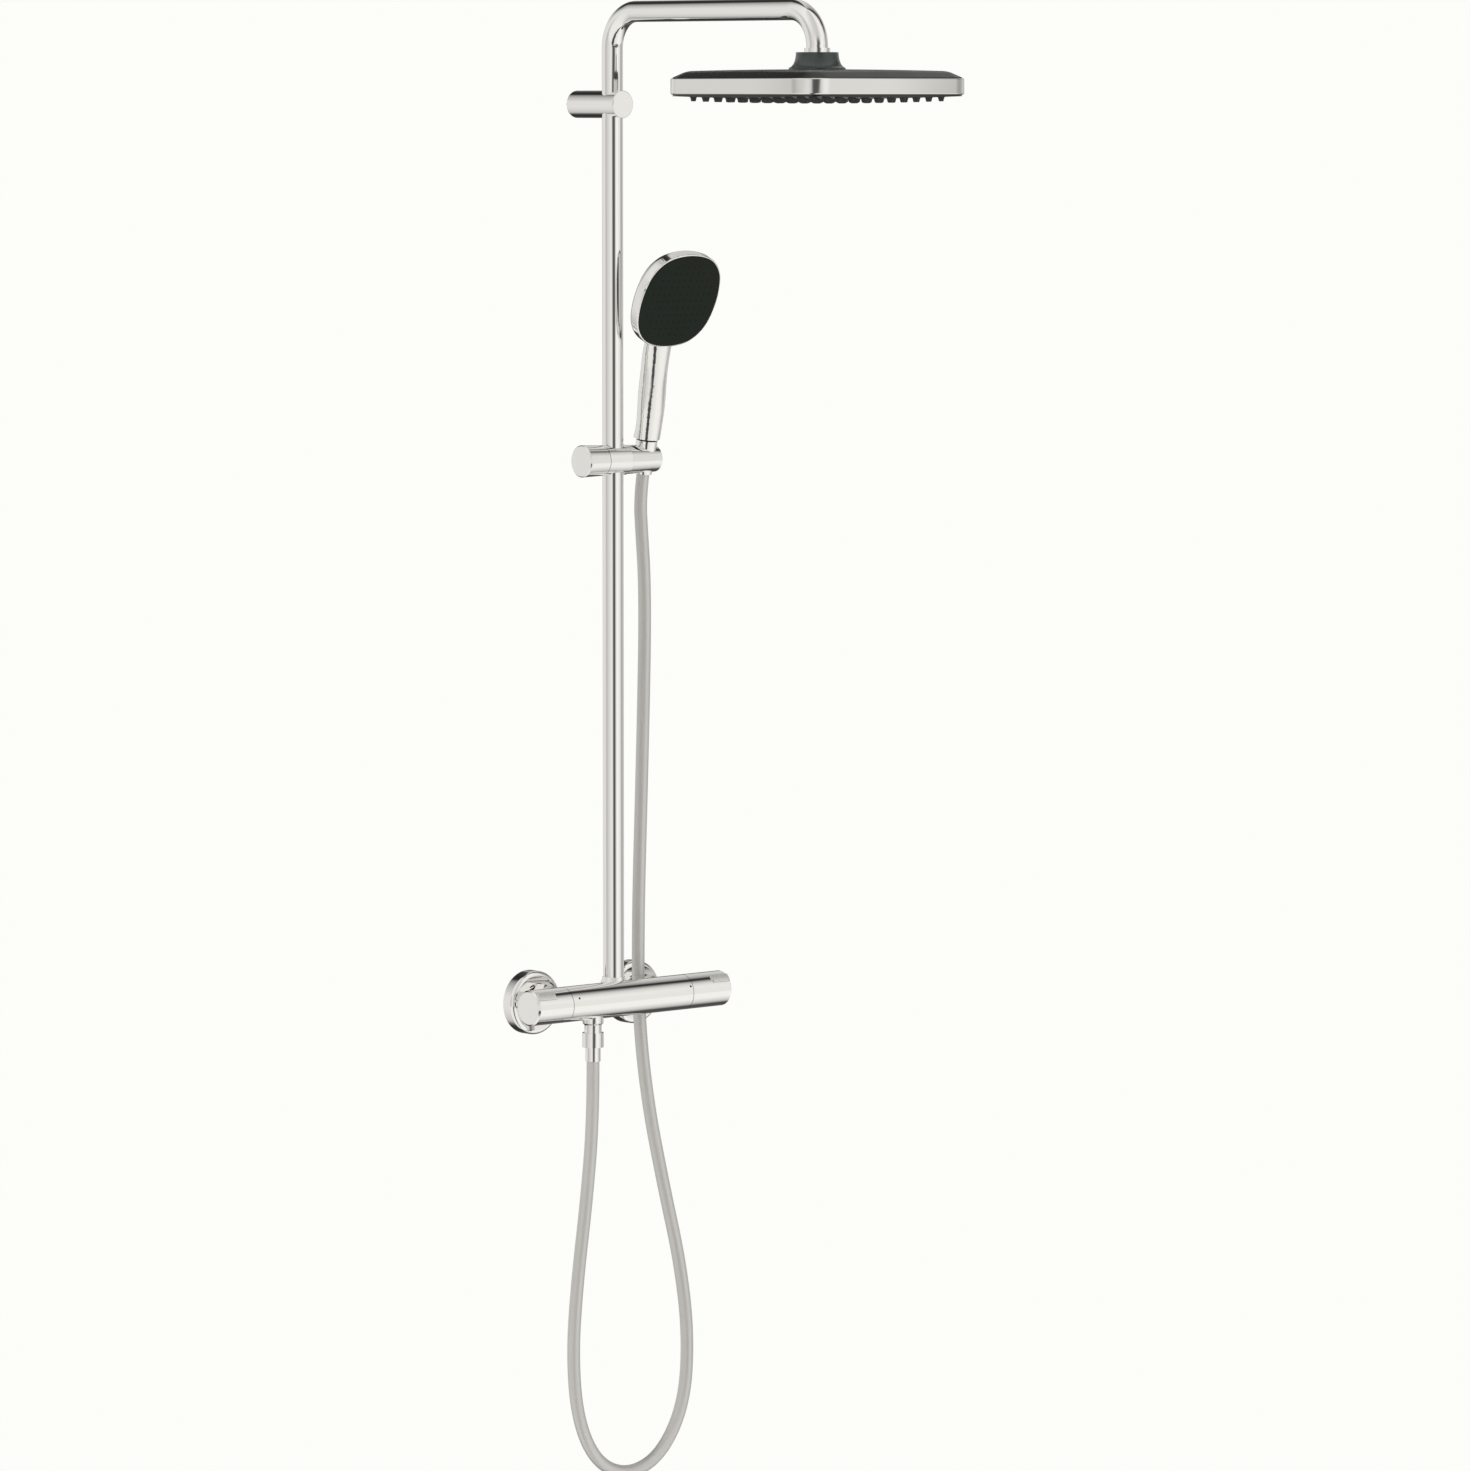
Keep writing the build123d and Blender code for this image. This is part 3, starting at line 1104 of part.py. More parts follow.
def bend_radii(route):
    """The largest arc that each corner's two runs allow, leaving a tenth of the shorter one straight."""
    radii = []
    for before, point, after in zip(route, route[1:], route[2:]):
        turn_angle = radians((point - before).get_angle(after - point))
        shorter = min((point - before).length, (after - point).length)
        radii.append(0.45 * shorter / tan(turn_angle / 2))
    return radii


hose_radii = bend_radii(hose_route)

with BuildPart() as shower_hose:
    with BuildLine() as hose_line:
        FilletPolyline(*hose_route, radius=hose_radii)
    with BuildSketch(Plane(origin=hose_start, z_dir=hose_route[1] - hose_start)):
        Circle(HOSE_DIA / 2)
    sweep()
save(shower_hose, "shower_hose")

hose_length = hose_line.wires()[0].length
section_area = 3.14159265 * HOSE_DIA**2 / 4
print("hose radii", [round(r) for r in hose_radii])
print("hose length", round(hose_length), "volume ratio", round(shower_hose.part.volume / section_area / hose_length, 4))
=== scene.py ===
"""Looks of a rainfall shower column: chrome bar mixer, riser, rain head, hand shower and hose.

Sizes are in millimetres and angles in degrees. Only places and distances in the studio are in metres.
"""

import json
import logging
import math
from dataclasses import dataclass
from enum import Enum
from typing import Any, ClassVar, Iterable, Optional

import bmesh
import bpy
from mathutils import Matrix, Vector

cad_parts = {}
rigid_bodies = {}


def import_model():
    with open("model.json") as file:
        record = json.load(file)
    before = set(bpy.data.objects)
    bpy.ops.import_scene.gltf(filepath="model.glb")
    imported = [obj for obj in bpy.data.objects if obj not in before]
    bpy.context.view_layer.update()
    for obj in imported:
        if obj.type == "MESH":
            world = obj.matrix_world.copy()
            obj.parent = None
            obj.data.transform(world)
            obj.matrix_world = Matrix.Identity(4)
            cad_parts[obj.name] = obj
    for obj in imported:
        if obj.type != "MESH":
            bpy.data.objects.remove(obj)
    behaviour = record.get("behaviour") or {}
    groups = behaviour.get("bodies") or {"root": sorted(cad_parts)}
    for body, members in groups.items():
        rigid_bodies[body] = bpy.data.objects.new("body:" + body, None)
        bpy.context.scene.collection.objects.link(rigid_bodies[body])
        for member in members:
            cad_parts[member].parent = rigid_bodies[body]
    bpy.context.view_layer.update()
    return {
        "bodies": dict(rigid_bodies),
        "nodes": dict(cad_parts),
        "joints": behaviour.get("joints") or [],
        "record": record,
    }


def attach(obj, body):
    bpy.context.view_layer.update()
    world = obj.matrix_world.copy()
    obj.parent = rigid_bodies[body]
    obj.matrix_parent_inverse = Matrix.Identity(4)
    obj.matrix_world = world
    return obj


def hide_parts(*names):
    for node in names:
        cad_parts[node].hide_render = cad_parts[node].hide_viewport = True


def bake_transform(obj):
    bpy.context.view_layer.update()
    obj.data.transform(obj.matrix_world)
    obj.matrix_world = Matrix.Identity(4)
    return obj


LOG = logging.getLogger("shower_column")
MM = 0.001
# Height of the bar's axis over the two wall supplies
BAR_HEIGHT = 4.5
# Lean of the hand shower's handle from upright
HANDLE_LEAN = 10.0
# Corners that are nearer than this are shaded as one
WELD_DISTANCE = 0.002
# Edges that turn by more than this stay crisp
CRISP_ANGLE = 32.0
# Factor on the faces' weights in the shading, of which 50 is the neutral value
FACE_WEIGHT = 50


def linear(code: str) -> tuple[float, float, float, float]:
    """Turn an sRGB hex colour to linear.

    Args:
        code: Colour as six hex digits.

    Returns:
        Linear red, green and blue with an alpha of one.
    """
    values = [int(code[i : i + 2], 16) / 255 for i in (0, 2, 4)]
    red, green, blue = [v / 12.92 if v <= 0.04045 else ((v + 0.055) / 1.055) ** 2.4 for v in values]
    return red, green, blue, 1.0


def add_node(
    tree: bpy.types.NodeTree, kind: str, sockets: Optional[dict] = None, **settings: Any
) -> bpy.types.Node:
    """Add a node with its settings and its inputs.

    Args:
        tree: Tree that the node goes into.
        kind: Blender's name for the node type.
        sockets: Value or output socket for each input, by name or index.
        settings: Properties of the node itself.

    Returns:
        The new node.
    """
    node = tree.nodes.new(kind)
    for name, value in settings.items():
        setattr(node, name, value)
    for key, value in (sockets or {}).items():
        if isinstance(value, bpy.types.NodeSocket):
            tree.links.new(value, node.inputs[key])
        else:
            node.inputs[key].default_value = value
    return node


def set_stops(ramp: bpy.types.ColorRamp, stops: list[tuple[float, tuple]]) -> None:
    """Give a colour ramp its stops.

    Args:
        ramp: Ramp of a new node, which has two stops.
        stops: Position and linear colour of each stop, from the lowest up.
    """
    while len(ramp.elements) < len(stops):
        ramp.elements.new(1.0)
    for element, (position, colour) in zip(ramp.elements, stops):
        element.position = position
        element.color = colour


def new_tree(name: str, labels: Iterable[str]) -> bpy.types.NodeTree:
    """Start a geometry tree that takes one number for each label.

    Args:
        name: Name of the tree.
        labels: Names of its inputs.

    Returns:
        The tree, with a geometry output and no nodes yet.
    """
    tree = bpy.data.node_groups.new(name, "GeometryNodeTree")
    for label in labels:
        tree.interface.new_socket(label, in_out="INPUT", socket_type="NodeSocketFloat")
    tree.interface.new_socket("Geometry", in_out="OUTPUT", socket_type="NodeSocketGeometry")
    return tree


def tree_mesh(name: str, tree: bpy.types.NodeTree, sizes: dict[str, float]) -> bpy.types.Mesh:
    """Evaluate a geometry tree once and keep the result as a plain mesh.

    Args:
        name: Name of the mesh.
        tree: Geometry tree with named inputs.
        sizes: Value for each named input.

    Returns:
        The mesh, at the origin.
    """
    holder = bpy.data.objects.new(name, bpy.data.meshes.new(name))
    bpy.context.scene.collection.objects.link(holder)
    nodes = holder.modifiers.new(name, "NODES")
    nodes.node_group = tree
    for item in tree.interface.items_tree:
        if item.item_type == "SOCKET" and item.in_out == "INPUT":
            nodes[item.identifier] = sizes[item.name]
    graph = bpy.context.evaluated_depsgraph_get()
    graph.update()
    mesh = bpy.data.meshes.new_from_object(holder.evaluated_get(graph), depsgraph=graph)
    bpy.data.objects.remove(holder)
    mesh.name = name
    return mesh


def closed_mesh(name: str, shape: bmesh.types.BMesh) -> bpy.types.Mesh:
    """Turn a closed shape to a mesh with its faces outward.

    Args:
        name: Name of the mesh.
        shape: The shape, which is freed.

    Returns:
        The mesh.
    """
    bmesh.ops.recalc_face_normals(shape, faces=shape.faces)
    mesh = bpy.data.meshes.new(name)
    shape.to_mesh(mesh)
    shape.free()
    return mesh


class Place(Enum):
    """What a surface pattern follows."""

    OBJECT = "Object"
    UV = "UV"


class Slot(Enum):
    """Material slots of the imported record."""

    CHROME = "chrome"
    PLATED = "plated_plastic"
    BRASS = "brass"
    STEEL = "steel"
    SEAL = "seal_rubber"
    INNER = "inner_plastic"
    HOSE = "hose_silver"
    SHELL = "shell_dark"
    FACE = "face_dark"
    NOZZLE = "nozzle_silicone"


@dataclass(frozen=True)
class Finish:
    """A surface with a fine unevenness.

    Its clouds vary the gloss. Its grain varies the level, and the colour too where there is a shade.
    """

    name: str
    colour: str
    metallic: float
    roughness: float
    roughness_spread: float
    cloud_mm: float
    grain_mm: float
    grain_depth_mm: float
    specular: float = 0.5
    stretch: tuple[float, float, float] = (1.0, 1.0, 1.0)
    place: Place = Place.OBJECT
    shade: float = 0.0

    # Octaves of each noise, and the part of its range that is spread over the whole effect
    CLOUD_DETAIL: ClassVar[float] = 3.0
    CLOUD_SPAN: ClassVar[tuple[float, float]] = (0.3, 0.7)
    GRAIN_DETAIL: ClassVar[float] = 2.0
    TONE_SPAN: ClassVar[tuple[float, float]] = (0.35, 0.65)

    def material(self) -> bpy.types.Material:
        """Build the material.

        Returns:
            A new material with a Principled surface.
        """
        made = bpy.data.materials.new(self.name)
        made.use_nodes = True
        tree = made.node_tree
        tree.nodes.clear()
        place = add_node(tree, "ShaderNodeTexCoord").outputs[self.place.value]
        drawn = add_node(tree, "ShaderNodeMapping", {"Vector": place, "Scale": self.stretch}).outputs[0]
        clouds = add_node(
            tree, "ShaderNodeTexNoise",
            {"Vector": drawn, "Scale": 1 / (self.cloud_mm * MM), "Detail": self.CLOUD_DETAIL},
        ).outputs[0]
        grain = add_node(
            tree, "ShaderNodeTexNoise",
            {"Vector": drawn, "Scale": 1 / (self.grain_mm * MM), "Detail": self.GRAIN_DETAIL},
        ).outputs[0]
        least, most = self.CLOUD_SPAN
        low, high = self.roughness - self.roughness_spread, self.roughness + self.roughness_spread
        gloss = add_node(
            tree, "ShaderNodeMapRange", {0: clouds, 1: least, 2: most, 3: low, 4: high}, clamp=True
        ).outputs[0]
        bump = add_node(
            tree, "ShaderNodeBump", {"Height": grain, "Strength": 1.0, "Distance": self.grain_depth_mm * MM}
        ).outputs[0]
        surface: dict[str, Any] = {
            "Base Color": linear(self.colour),
            "Metallic": self.metallic,
            "Roughness": gloss,
            "Normal": bump,
            "Specular IOR Level": self.specular,
        }
        if self.shade > 0:
            colour = linear(self.colour)
            darker = tuple(c * (1 - self.shade) for c in colour[:3]) + (1.0,)
            lighter = tuple(min(1.0, c * (1 + self.shade)) for c in colour[:3]) + (1.0,)
            tones = add_node(tree, "ShaderNodeValToRGB", {"Fac": grain})
            set_stops(tones.color_ramp, list(zip(self.TONE_SPAN, (darker, lighter))))
            surface["Base Color"] = tones.outputs[0]
        shader = add_node(tree, "ShaderNodeBsdfPrincipled", surface).outputs[0]
        add_node(tree, "ShaderNodeOutputMaterial", {"Surface": shader})
        return made


# Real tool marks, plating and moulded textures are finer than drawn here: a grain under 0.8 mm wouldn't
# show in the render

# Bright chromium on polished brass: a clear mirror, with only faint wiping clouds in its gloss
CHROME = Finish("polished_chrome", "EFEFEC", 1.0, 0.045, 0.015, 40, 9, 0.0006)
# Bright chromium on moulded ABS: the same mirror on a very slightly uneven moulding
PLATED_ABS = Finish("chrome_plated_abs", "ECECE9", 1.0, 0.055, 0.02, 30, 12, 0.0012)
# Satin chromium of the push buttons: a soft grey sheen that shows no clear picture
SATIN_CHROME = Finish("satin_chrome", "F2F2EE", 1.0, 0.5, 0.03, 10, 3, 0.0004)
# Turned brass: yellow metal with fine tool marks
BRASS = Finish("turned_brass", "C9A35A", 1.0, 0.28, 0.06, 12, 1.2, 0.01, shade=0.12)
# Zinc plated steel: grey and half bright
STEEL = Finish("zinc_plated_steel", "A9ABAE", 1.0, 0.32, 0.08, 10, 1.5, 0.01, shade=0.1)
# Black EPDM seals: matt, with a fine moulded texture
SEAL_RUBBER = Finish("epdm_rubber", "161616", 0.0, 0.7, 0.08, 10, 1.0, 0.02, shade=0.15)
# Acetal of the sleeve, seats and cartridges: off white and half matt
ACETAL = Finish("moulded_acetal", "DBDBD5", 0.0, 0.45, 0.06, 15, 1.5, 0.01, shade=0.04)
# Satin PVC skin over a silver inlay: soft sheen with faint streaks along the hose
HOSE_SKIN = Finish(
    "satin_silver_pvc", "D6D6D2", 0.7, 0.55, 0.05, 30, 3, 0.008,
    stretch=(1.0, 0.02, 1.0), place=Place.UV, shade=0.04,
)
# Plated band of the head: bright, but a little greyer and softer than the brass pieces
HEAD_BAND = Finish("chrome_plated_band", "E2E2DE", 1.0, 0.07, 0.02, 30, 12, 0.001)
# Dark lacquer on the ABS of the head's top: slate grey with a low shine
DARK_LACQUER = Finish(
    "dark_lacquered_abs", "262827", 0.0, 0.22, 0.04, 35, 8, 0.002, specular=0.12, shade=0.05
)
# Dark ABS of the head's neck: a lighter slate with a clear shine
SLATE_ABS = Finish("slate_gloss_abs", "454E4B", 0.0, 0.2, 0.04, 35, 8, 0.002, shade=0.05)
# Dark satin ABS of the hand shower's face and the small marks: near black with a green cast
DARK_FACE = Finish("dark_satin_abs", "1C241C", 0.0, 0.42, 0.05, 30, 2, 0.004, specular=0.1, shade=0.06)
# Dark gloss ABS of the head's spray plate: near black with a clear shine
GLOSS_FACE = Finish("dark_gloss_abs", "1C241C", 0.0, 0.08, 0.02, 30, 8, 0.001, shade=0.04)
# Soft silicone of the nozzles: dark grey and matt
SILICONE = Finish("nozzle_silicone", "2B2D2B", 0.0, 0.6, 0.08, 6, 0.8, 0.01, shade=0.1)


class Palette:
    """One material for each finish, made once and shared."""

    BY_SLOT: ClassVar[dict[Slot, Finish]] = {
        Slot.CHROME: CHROME, Slot.PLATED: PLATED_ABS, Slot.BRASS: BRASS, Slot.STEEL: STEEL,
        Slot.SEAL: SEAL_RUBBER, Slot.INNER: ACETAL, Slot.HOSE: HOSE_SKIN, Slot.SHELL: DARK_LACQUER,
        Slot.FACE: DARK_FACE, Slot.NOZZLE: SILICONE,
    }

    def __init__(self) -> None:
        """Start with no material made."""
        self._made: dict[str, bpy.types.Material] = {}

    def get(self, finish: Finish) -> bpy.types.Material:
        """Give the material of a finish, and make it the first time.

        Args:
            finish: The finish.

        Returns:
            Its material.
        """
        if finish.name not in self._made:
            self._made[finish.name] = finish.material()
        return self._made[finish.name]

    def of(self, slot: Slot) -> bpy.types.Material:
        """Give the material of a record slot.

        Args:
            slot: Slot of the record.

        Returns:
            Its material.
        """
        return self.get(self.BY_SLOT[slot])


def smooth_by_angle(piece: bpy.types.Object) -> None:
    """Shade a piece smooth with crisp edges, without changing its vertices.

    Args:
        piece: Mesh object.
    """
    for face in piece.data.polygons:
        face.use_smooth = True
    weld = piece.modifiers.new("weld", "WELD")
    weld.merge_threshold = WELD_DISTANCE * MM
    split = piece.modifiers.new("crisp_edges", "EDGE_SPLIT")
    split.split_angle = math.radians(CRISP_ANGLE)
    even = piece.modifiers.new("even_shading", "WEIGHTED_NORMAL")
    even.mode = "FACE_AREA"
    even.weight = FACE_WEIGHT


def new_piece(name: str, mesh: bpy.types.Mesh, finish: bpy.types.Material) -> bpy.types.Object:
    """Link a mesh as a piece with its finish.

    Args:
        name: Name of the piece.
        mesh: Finished mesh, in place.
        finish: Material.

    Returns:
        The new object.
    """
    mesh.materials.clear()
    mesh.materials.append(finish)
    piece = bpy.data.objects.new(name, mesh)
    bpy.context.scene.collection.objects.link(piece)
    LOG.info("%s: %s, %d faces", name, finish.name, len(mesh.polygons))
    return piece


@dataclass
class Studio:
    """White sweep with soft light all round, seen by the camera as plain white."""

    camera_place: tuple[float, float, float] = (-5.4252, -6.2919, 1.0183)
    camera_aim: tuple[float, float, float] = (0.1008, -0.1549, 0.3013)
    lens_mm: float = 180.15
    sensor_mm: float = 36.0
    camera_range: float = 100.0
    column_middle: tuple[float, float, float] = (0.0, -0.062, 0.5)
    floor_height: float = -1.0
    floor_half: float = 30.0
    paper: str = "FDFDFA"
    tint: tuple[float, float, float] = (1.0, 0.98, 0.962)
    brightness: float = 1.21
    upper_band: tuple[float, float] = (8.0, 26.0)
    lower_band: tuple[float, float] = (-8.0, -15.0)

    # Brightness of the soft boxes by degrees to the right of the camera: at its level, above and below
    LEVEL: ClassVar[tuple] = (
        (-180, 0.10), (-165, 0.32), (-145, 0.76), (-122, 0.66), (-106, 0.70), (-94, 0.70), (-84, 0.50),
        (-72, 0.47), (-60, 0.58), (-48, 0.63), (-37, 0.665), (-26, 0.735), (-16, 0.76), (-7, 0.66),
        (1, 0.15), (5, 0.09), (18, 0.09), (23, 0.17), (31, 0.62), (37, 0.78), (48, 0.89), (60, 0.84),
        (72, 0.74), (84, 0.76), (96, 0.46), (110, 0.36), (124, 0.40), (145, 0.64), (165, 0.32), (180, 0.10),
    )
    ABOVE: ClassVar[tuple] = (
        (-180, 0.58), (-176, 0.40), (-172, 0.05), (-150, 0.02), (-138, 0.03), (-128, 0.26), (-112, 0.48),
        (-95, 0.70), (-60, 0.80), (-20, 0.60), (20, 0.55), (60, 0.84), (84, 0.82), (94, 0.66), (103, 0.46),
        (111, 0.20), (118, 0.03), (130, 0.03), (140, 0.26), (153, 0.42), (167, 0.55), (180, 0.62),
    )
    BELOW: ClassVar[tuple] = (
        (-180, 0.12), (-167, 0.03), (-146, 0.03), (-136, 0.14), (-124, 0.50), (-95, 0.74), (-60, 0.80),
        (-24, 0.78), (-15, 0.70), (-10, 0.06), (9, 0.06), (15, 0.72), (60, 0.86), (94, 0.84), (103, 0.70),
        (116, 0.58), (130, 0.34), (142, 0.08), (158, 0.05), (170, 0.10), (180, 0.12),
    )

    def build(self) -> None:
        """Make the camera, the floor and the light."""
        self._camera()
        self._floor()
        self._light()
        bpy.context.scene.view_settings.view_transform = "Standard"

    def _camera(self) -> None:
        """Place the camera at the photograph's angle."""
        data = bpy.data.cameras.new("camera")
        data.lens = self.lens_mm
        data.sensor_width = self.sensor_mm
        data.clip_end = self.camera_range
        camera = bpy.data.objects.new("camera", data)
        camera.location = self.camera_place
        way = Vector(self.camera_aim) - Vector(self.camera_place)
        camera.rotation_euler = way.to_track_quat("-Z", "Y").to_euler()
        bpy.context.scene.collection.objects.link(camera)
        bpy.context.scene.camera = camera

    def _floor(self) -> None:
        """Lay a pale floor below the hose, which stays out of the reflections."""
        mesh = bpy.data.meshes.new("floor")
        h = self.floor_half
        mesh.from_pydata([(-h, -h, 0), (h, -h, 0), (h, h, 0), (-h, h, 0)], [], [(0, 1, 2, 3)])
        mesh.transform(Matrix.Translation((0, 0, self.floor_height)))
        paper = bpy.data.materials.new("white_paper")
        paper.use_nodes = True
        tree = paper.node_tree
        tree.nodes.clear()
        glow = add_node(
            tree, "ShaderNodeEmission", {"Color": linear(self.paper), "Strength": 1.0}
        ).outputs[0]
        add_node(tree, "ShaderNodeOutputMaterial", {"Surface": glow})
        mesh.materials.append(paper)
        floor = bpy.data.objects.new("floor", mesh)
        floor.visible_glossy = False
        floor.visible_diffuse = False
        floor.visible_shadow = False
        bpy.context.scene.collection.objects.link(floor)

    def _light(self) -> None:
        """Light the scene from soft boxes drawn in the world, with plain paper behind the object."""
        world = bpy.data.worlds.new("studio")
        bpy.context.scene.world = world
        world.use_nodes = True
        tree = world.node_tree
        tree.nodes.clear()
        way = Vector(self.camera_place) - Vector(self.column_middle)
        front = Vector((way.x, way.y, 0)).normalized()
        right = Vector((-front.y, front.x, 0))
        ray = add_node(tree, "ShaderNodeTexCoord").outputs["Generated"]
        ahead = add_node(tree, "ShaderNodeVectorMath", {0: ray, 1: front}, operation="DOT_PRODUCT")
        aside = add_node(tree, "ShaderNodeVectorMath", {0: ray, 1: right}, operation="DOT_PRODUCT")
        parts = {0: aside.outputs["Value"], 1: ahead.outputs["Value"]}
        turn = add_node(tree, "ShaderNodeMath", parts, operation="ARCTAN2").outputs[0]
        share = add_node(tree, "ShaderNodeMapRange", {0: turn, 1: -math.pi, 2: math.pi}).outputs[0]
        level = add_node(tree, "ShaderNodeSeparateXYZ", {0: ray}).outputs[2]
        height = add_node(tree, "ShaderNodeMath", {0: level}, operation="ARCSINE").outputs[0]
        bands = []
        for stops in (self.LEVEL, self.ABOVE, self.BELOW):
            ramp = add_node(tree, "ShaderNodeValToRGB", {0: share})
            shares = [(angle + 180) / 360 for angle, _ in stops]
            colours = [(*(value * part for part in self.tint), 1.0) for _, value in stops]
            set_stops(ramp.color_ramp, list(zip(shares, colours)))
            bands.append(ramp.outputs[0])
        sky = bands[0]
        for band, (near, far) in ((bands[1], self.upper_band), (bands[2], self.lower_band)):
            rise = add_node(
                tree, "ShaderNodeMapRange", {0: height, 1: math.radians(near), 2: math.radians(far)},
                interpolation_type="SMOOTHSTEP",
            ).outputs[0]
            sky = add_node(tree, "ShaderNodeMix", {0: rise, 6: sky, 7: band}, data_type="RGBA").outputs[2]
        boxes = add_node(tree, "ShaderNodeBackground", {0: sky, 1: self.brightness}).outputs[0]
        paper = add_node(tree, "ShaderNodeBackground", {0: linear(self.paper), 1: 1.0}).outputs[0]
        seen = add_node(tree, "ShaderNodeLightPath").outputs["Is Camera Ray"]
        both = add_node(tree, "ShaderNodeMixShader", {0: seen, 1: boxes, 2: paper}).outputs[0]
        add_node(tree, "ShaderNodeOutputWorld", {0: both})


@dataclass
class SubAssembly:
    """A group of CAD nodes that belong together and are dressed together."""

    NODES: ClassVar[tuple[str, ...]] = ()
    OTHER_FINISH: ClassVar[dict[str, Finish]] = {}

    def dress(self, frame: dict, palette: Palette) -> None:
        """Give each CAD node of the group its finish and its shading.

        Args:
            palette: The shared materials.
        """
        slots = {row["node"]: Slot(row["material_slot"]) for row in frame["record"]["subparts"]}
        for name in self.NODES:
            piece = frame["nodes"][name]
            finish = self.OTHER_FINISH.get(name)
            material = palette.get(finish) if finish else palette.of(slots[name])
            piece.data.materials.clear()
            piece.data.materials.append(material)
            smooth_by_angle(piece)
            LOG.info("%s: %s", name, material.name)

    def build(self, frame: dict, palette: Palette) -> None:
        """Make what the group has beside its CAD nodes. A plain group has nothing more.

        Args:
            palette: The shared materials, which a plain group doesn't use.
        """


@dataclass
class Thread:
    """A screw thread as one helical ridge on a round stub."""

    name: str
    radius: float
    pitch: float
    length: float
    ridge: float
    start: tuple[float, float, float]
    sides: int = 40
    ridge_sides: int = 4

    def build(self, material: bpy.types.Material, slot: Slot, body: str) -> None:
        """Make the ridge along +Y from its start.

        Args:
            material: Material of the stub.
            slot: Slot of the record, which is not used.
            body: Body that it moves with.
        """
        sizes = {
            "Turns": self.length / self.pitch, "Radius": self.radius * MM, "Length": self.length * MM,
            "Ridge": self.ridge * MM,
        }
        mesh = tree_mesh(self.name, self._tree(sizes), sizes)
        turned = Matrix.Rotation(math.radians(-90), 4, "X")
        mesh.transform(Matrix.Translation(Vector(self.start) * MM) @ turned)
        piece = new_piece(self.name, mesh, material)
        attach(piece, body)

    def _tree(self, labels: Iterable[str]) -> bpy.types.NodeTree:
        """Build the tree: a spiral swept with a pointed ridge.

        Args:
            labels: Names of its inputs.

        Returns:
            The node tree.
        """
        tree = new_tree(self.name, labels)
        given = add_node(tree, "NodeGroupInput").outputs
        spiral = add_node(
            tree, "GeometryNodeCurveSpiral",
            {
                "Resolution": self.sides, "Rotations": given["Turns"], "Start Radius": given["Radius"],
                "End Radius": given["Radius"], "Height": given["Length"],
            },
        ).outputs[0]
        upright = add_node(tree, "GeometryNodeSetCurveNormal", {"Curve": spiral}, mode="Z_UP").outputs[0]
        ridge = add_node(
            tree, "GeometryNodeCurvePrimitiveCircle",
            {"Resolution": self.ridge_sides, "Radius": given["Ridge"]},
        ).outputs[0]
        swept = add_node(
            tree, "GeometryNodeCurveToMesh", {"Curve": upright, "Profile Curve": ridge, "Fill Caps": True}
        ).outputs[0]
        add_node(tree, "NodeGroupOutput", {0: swept})
        return tree


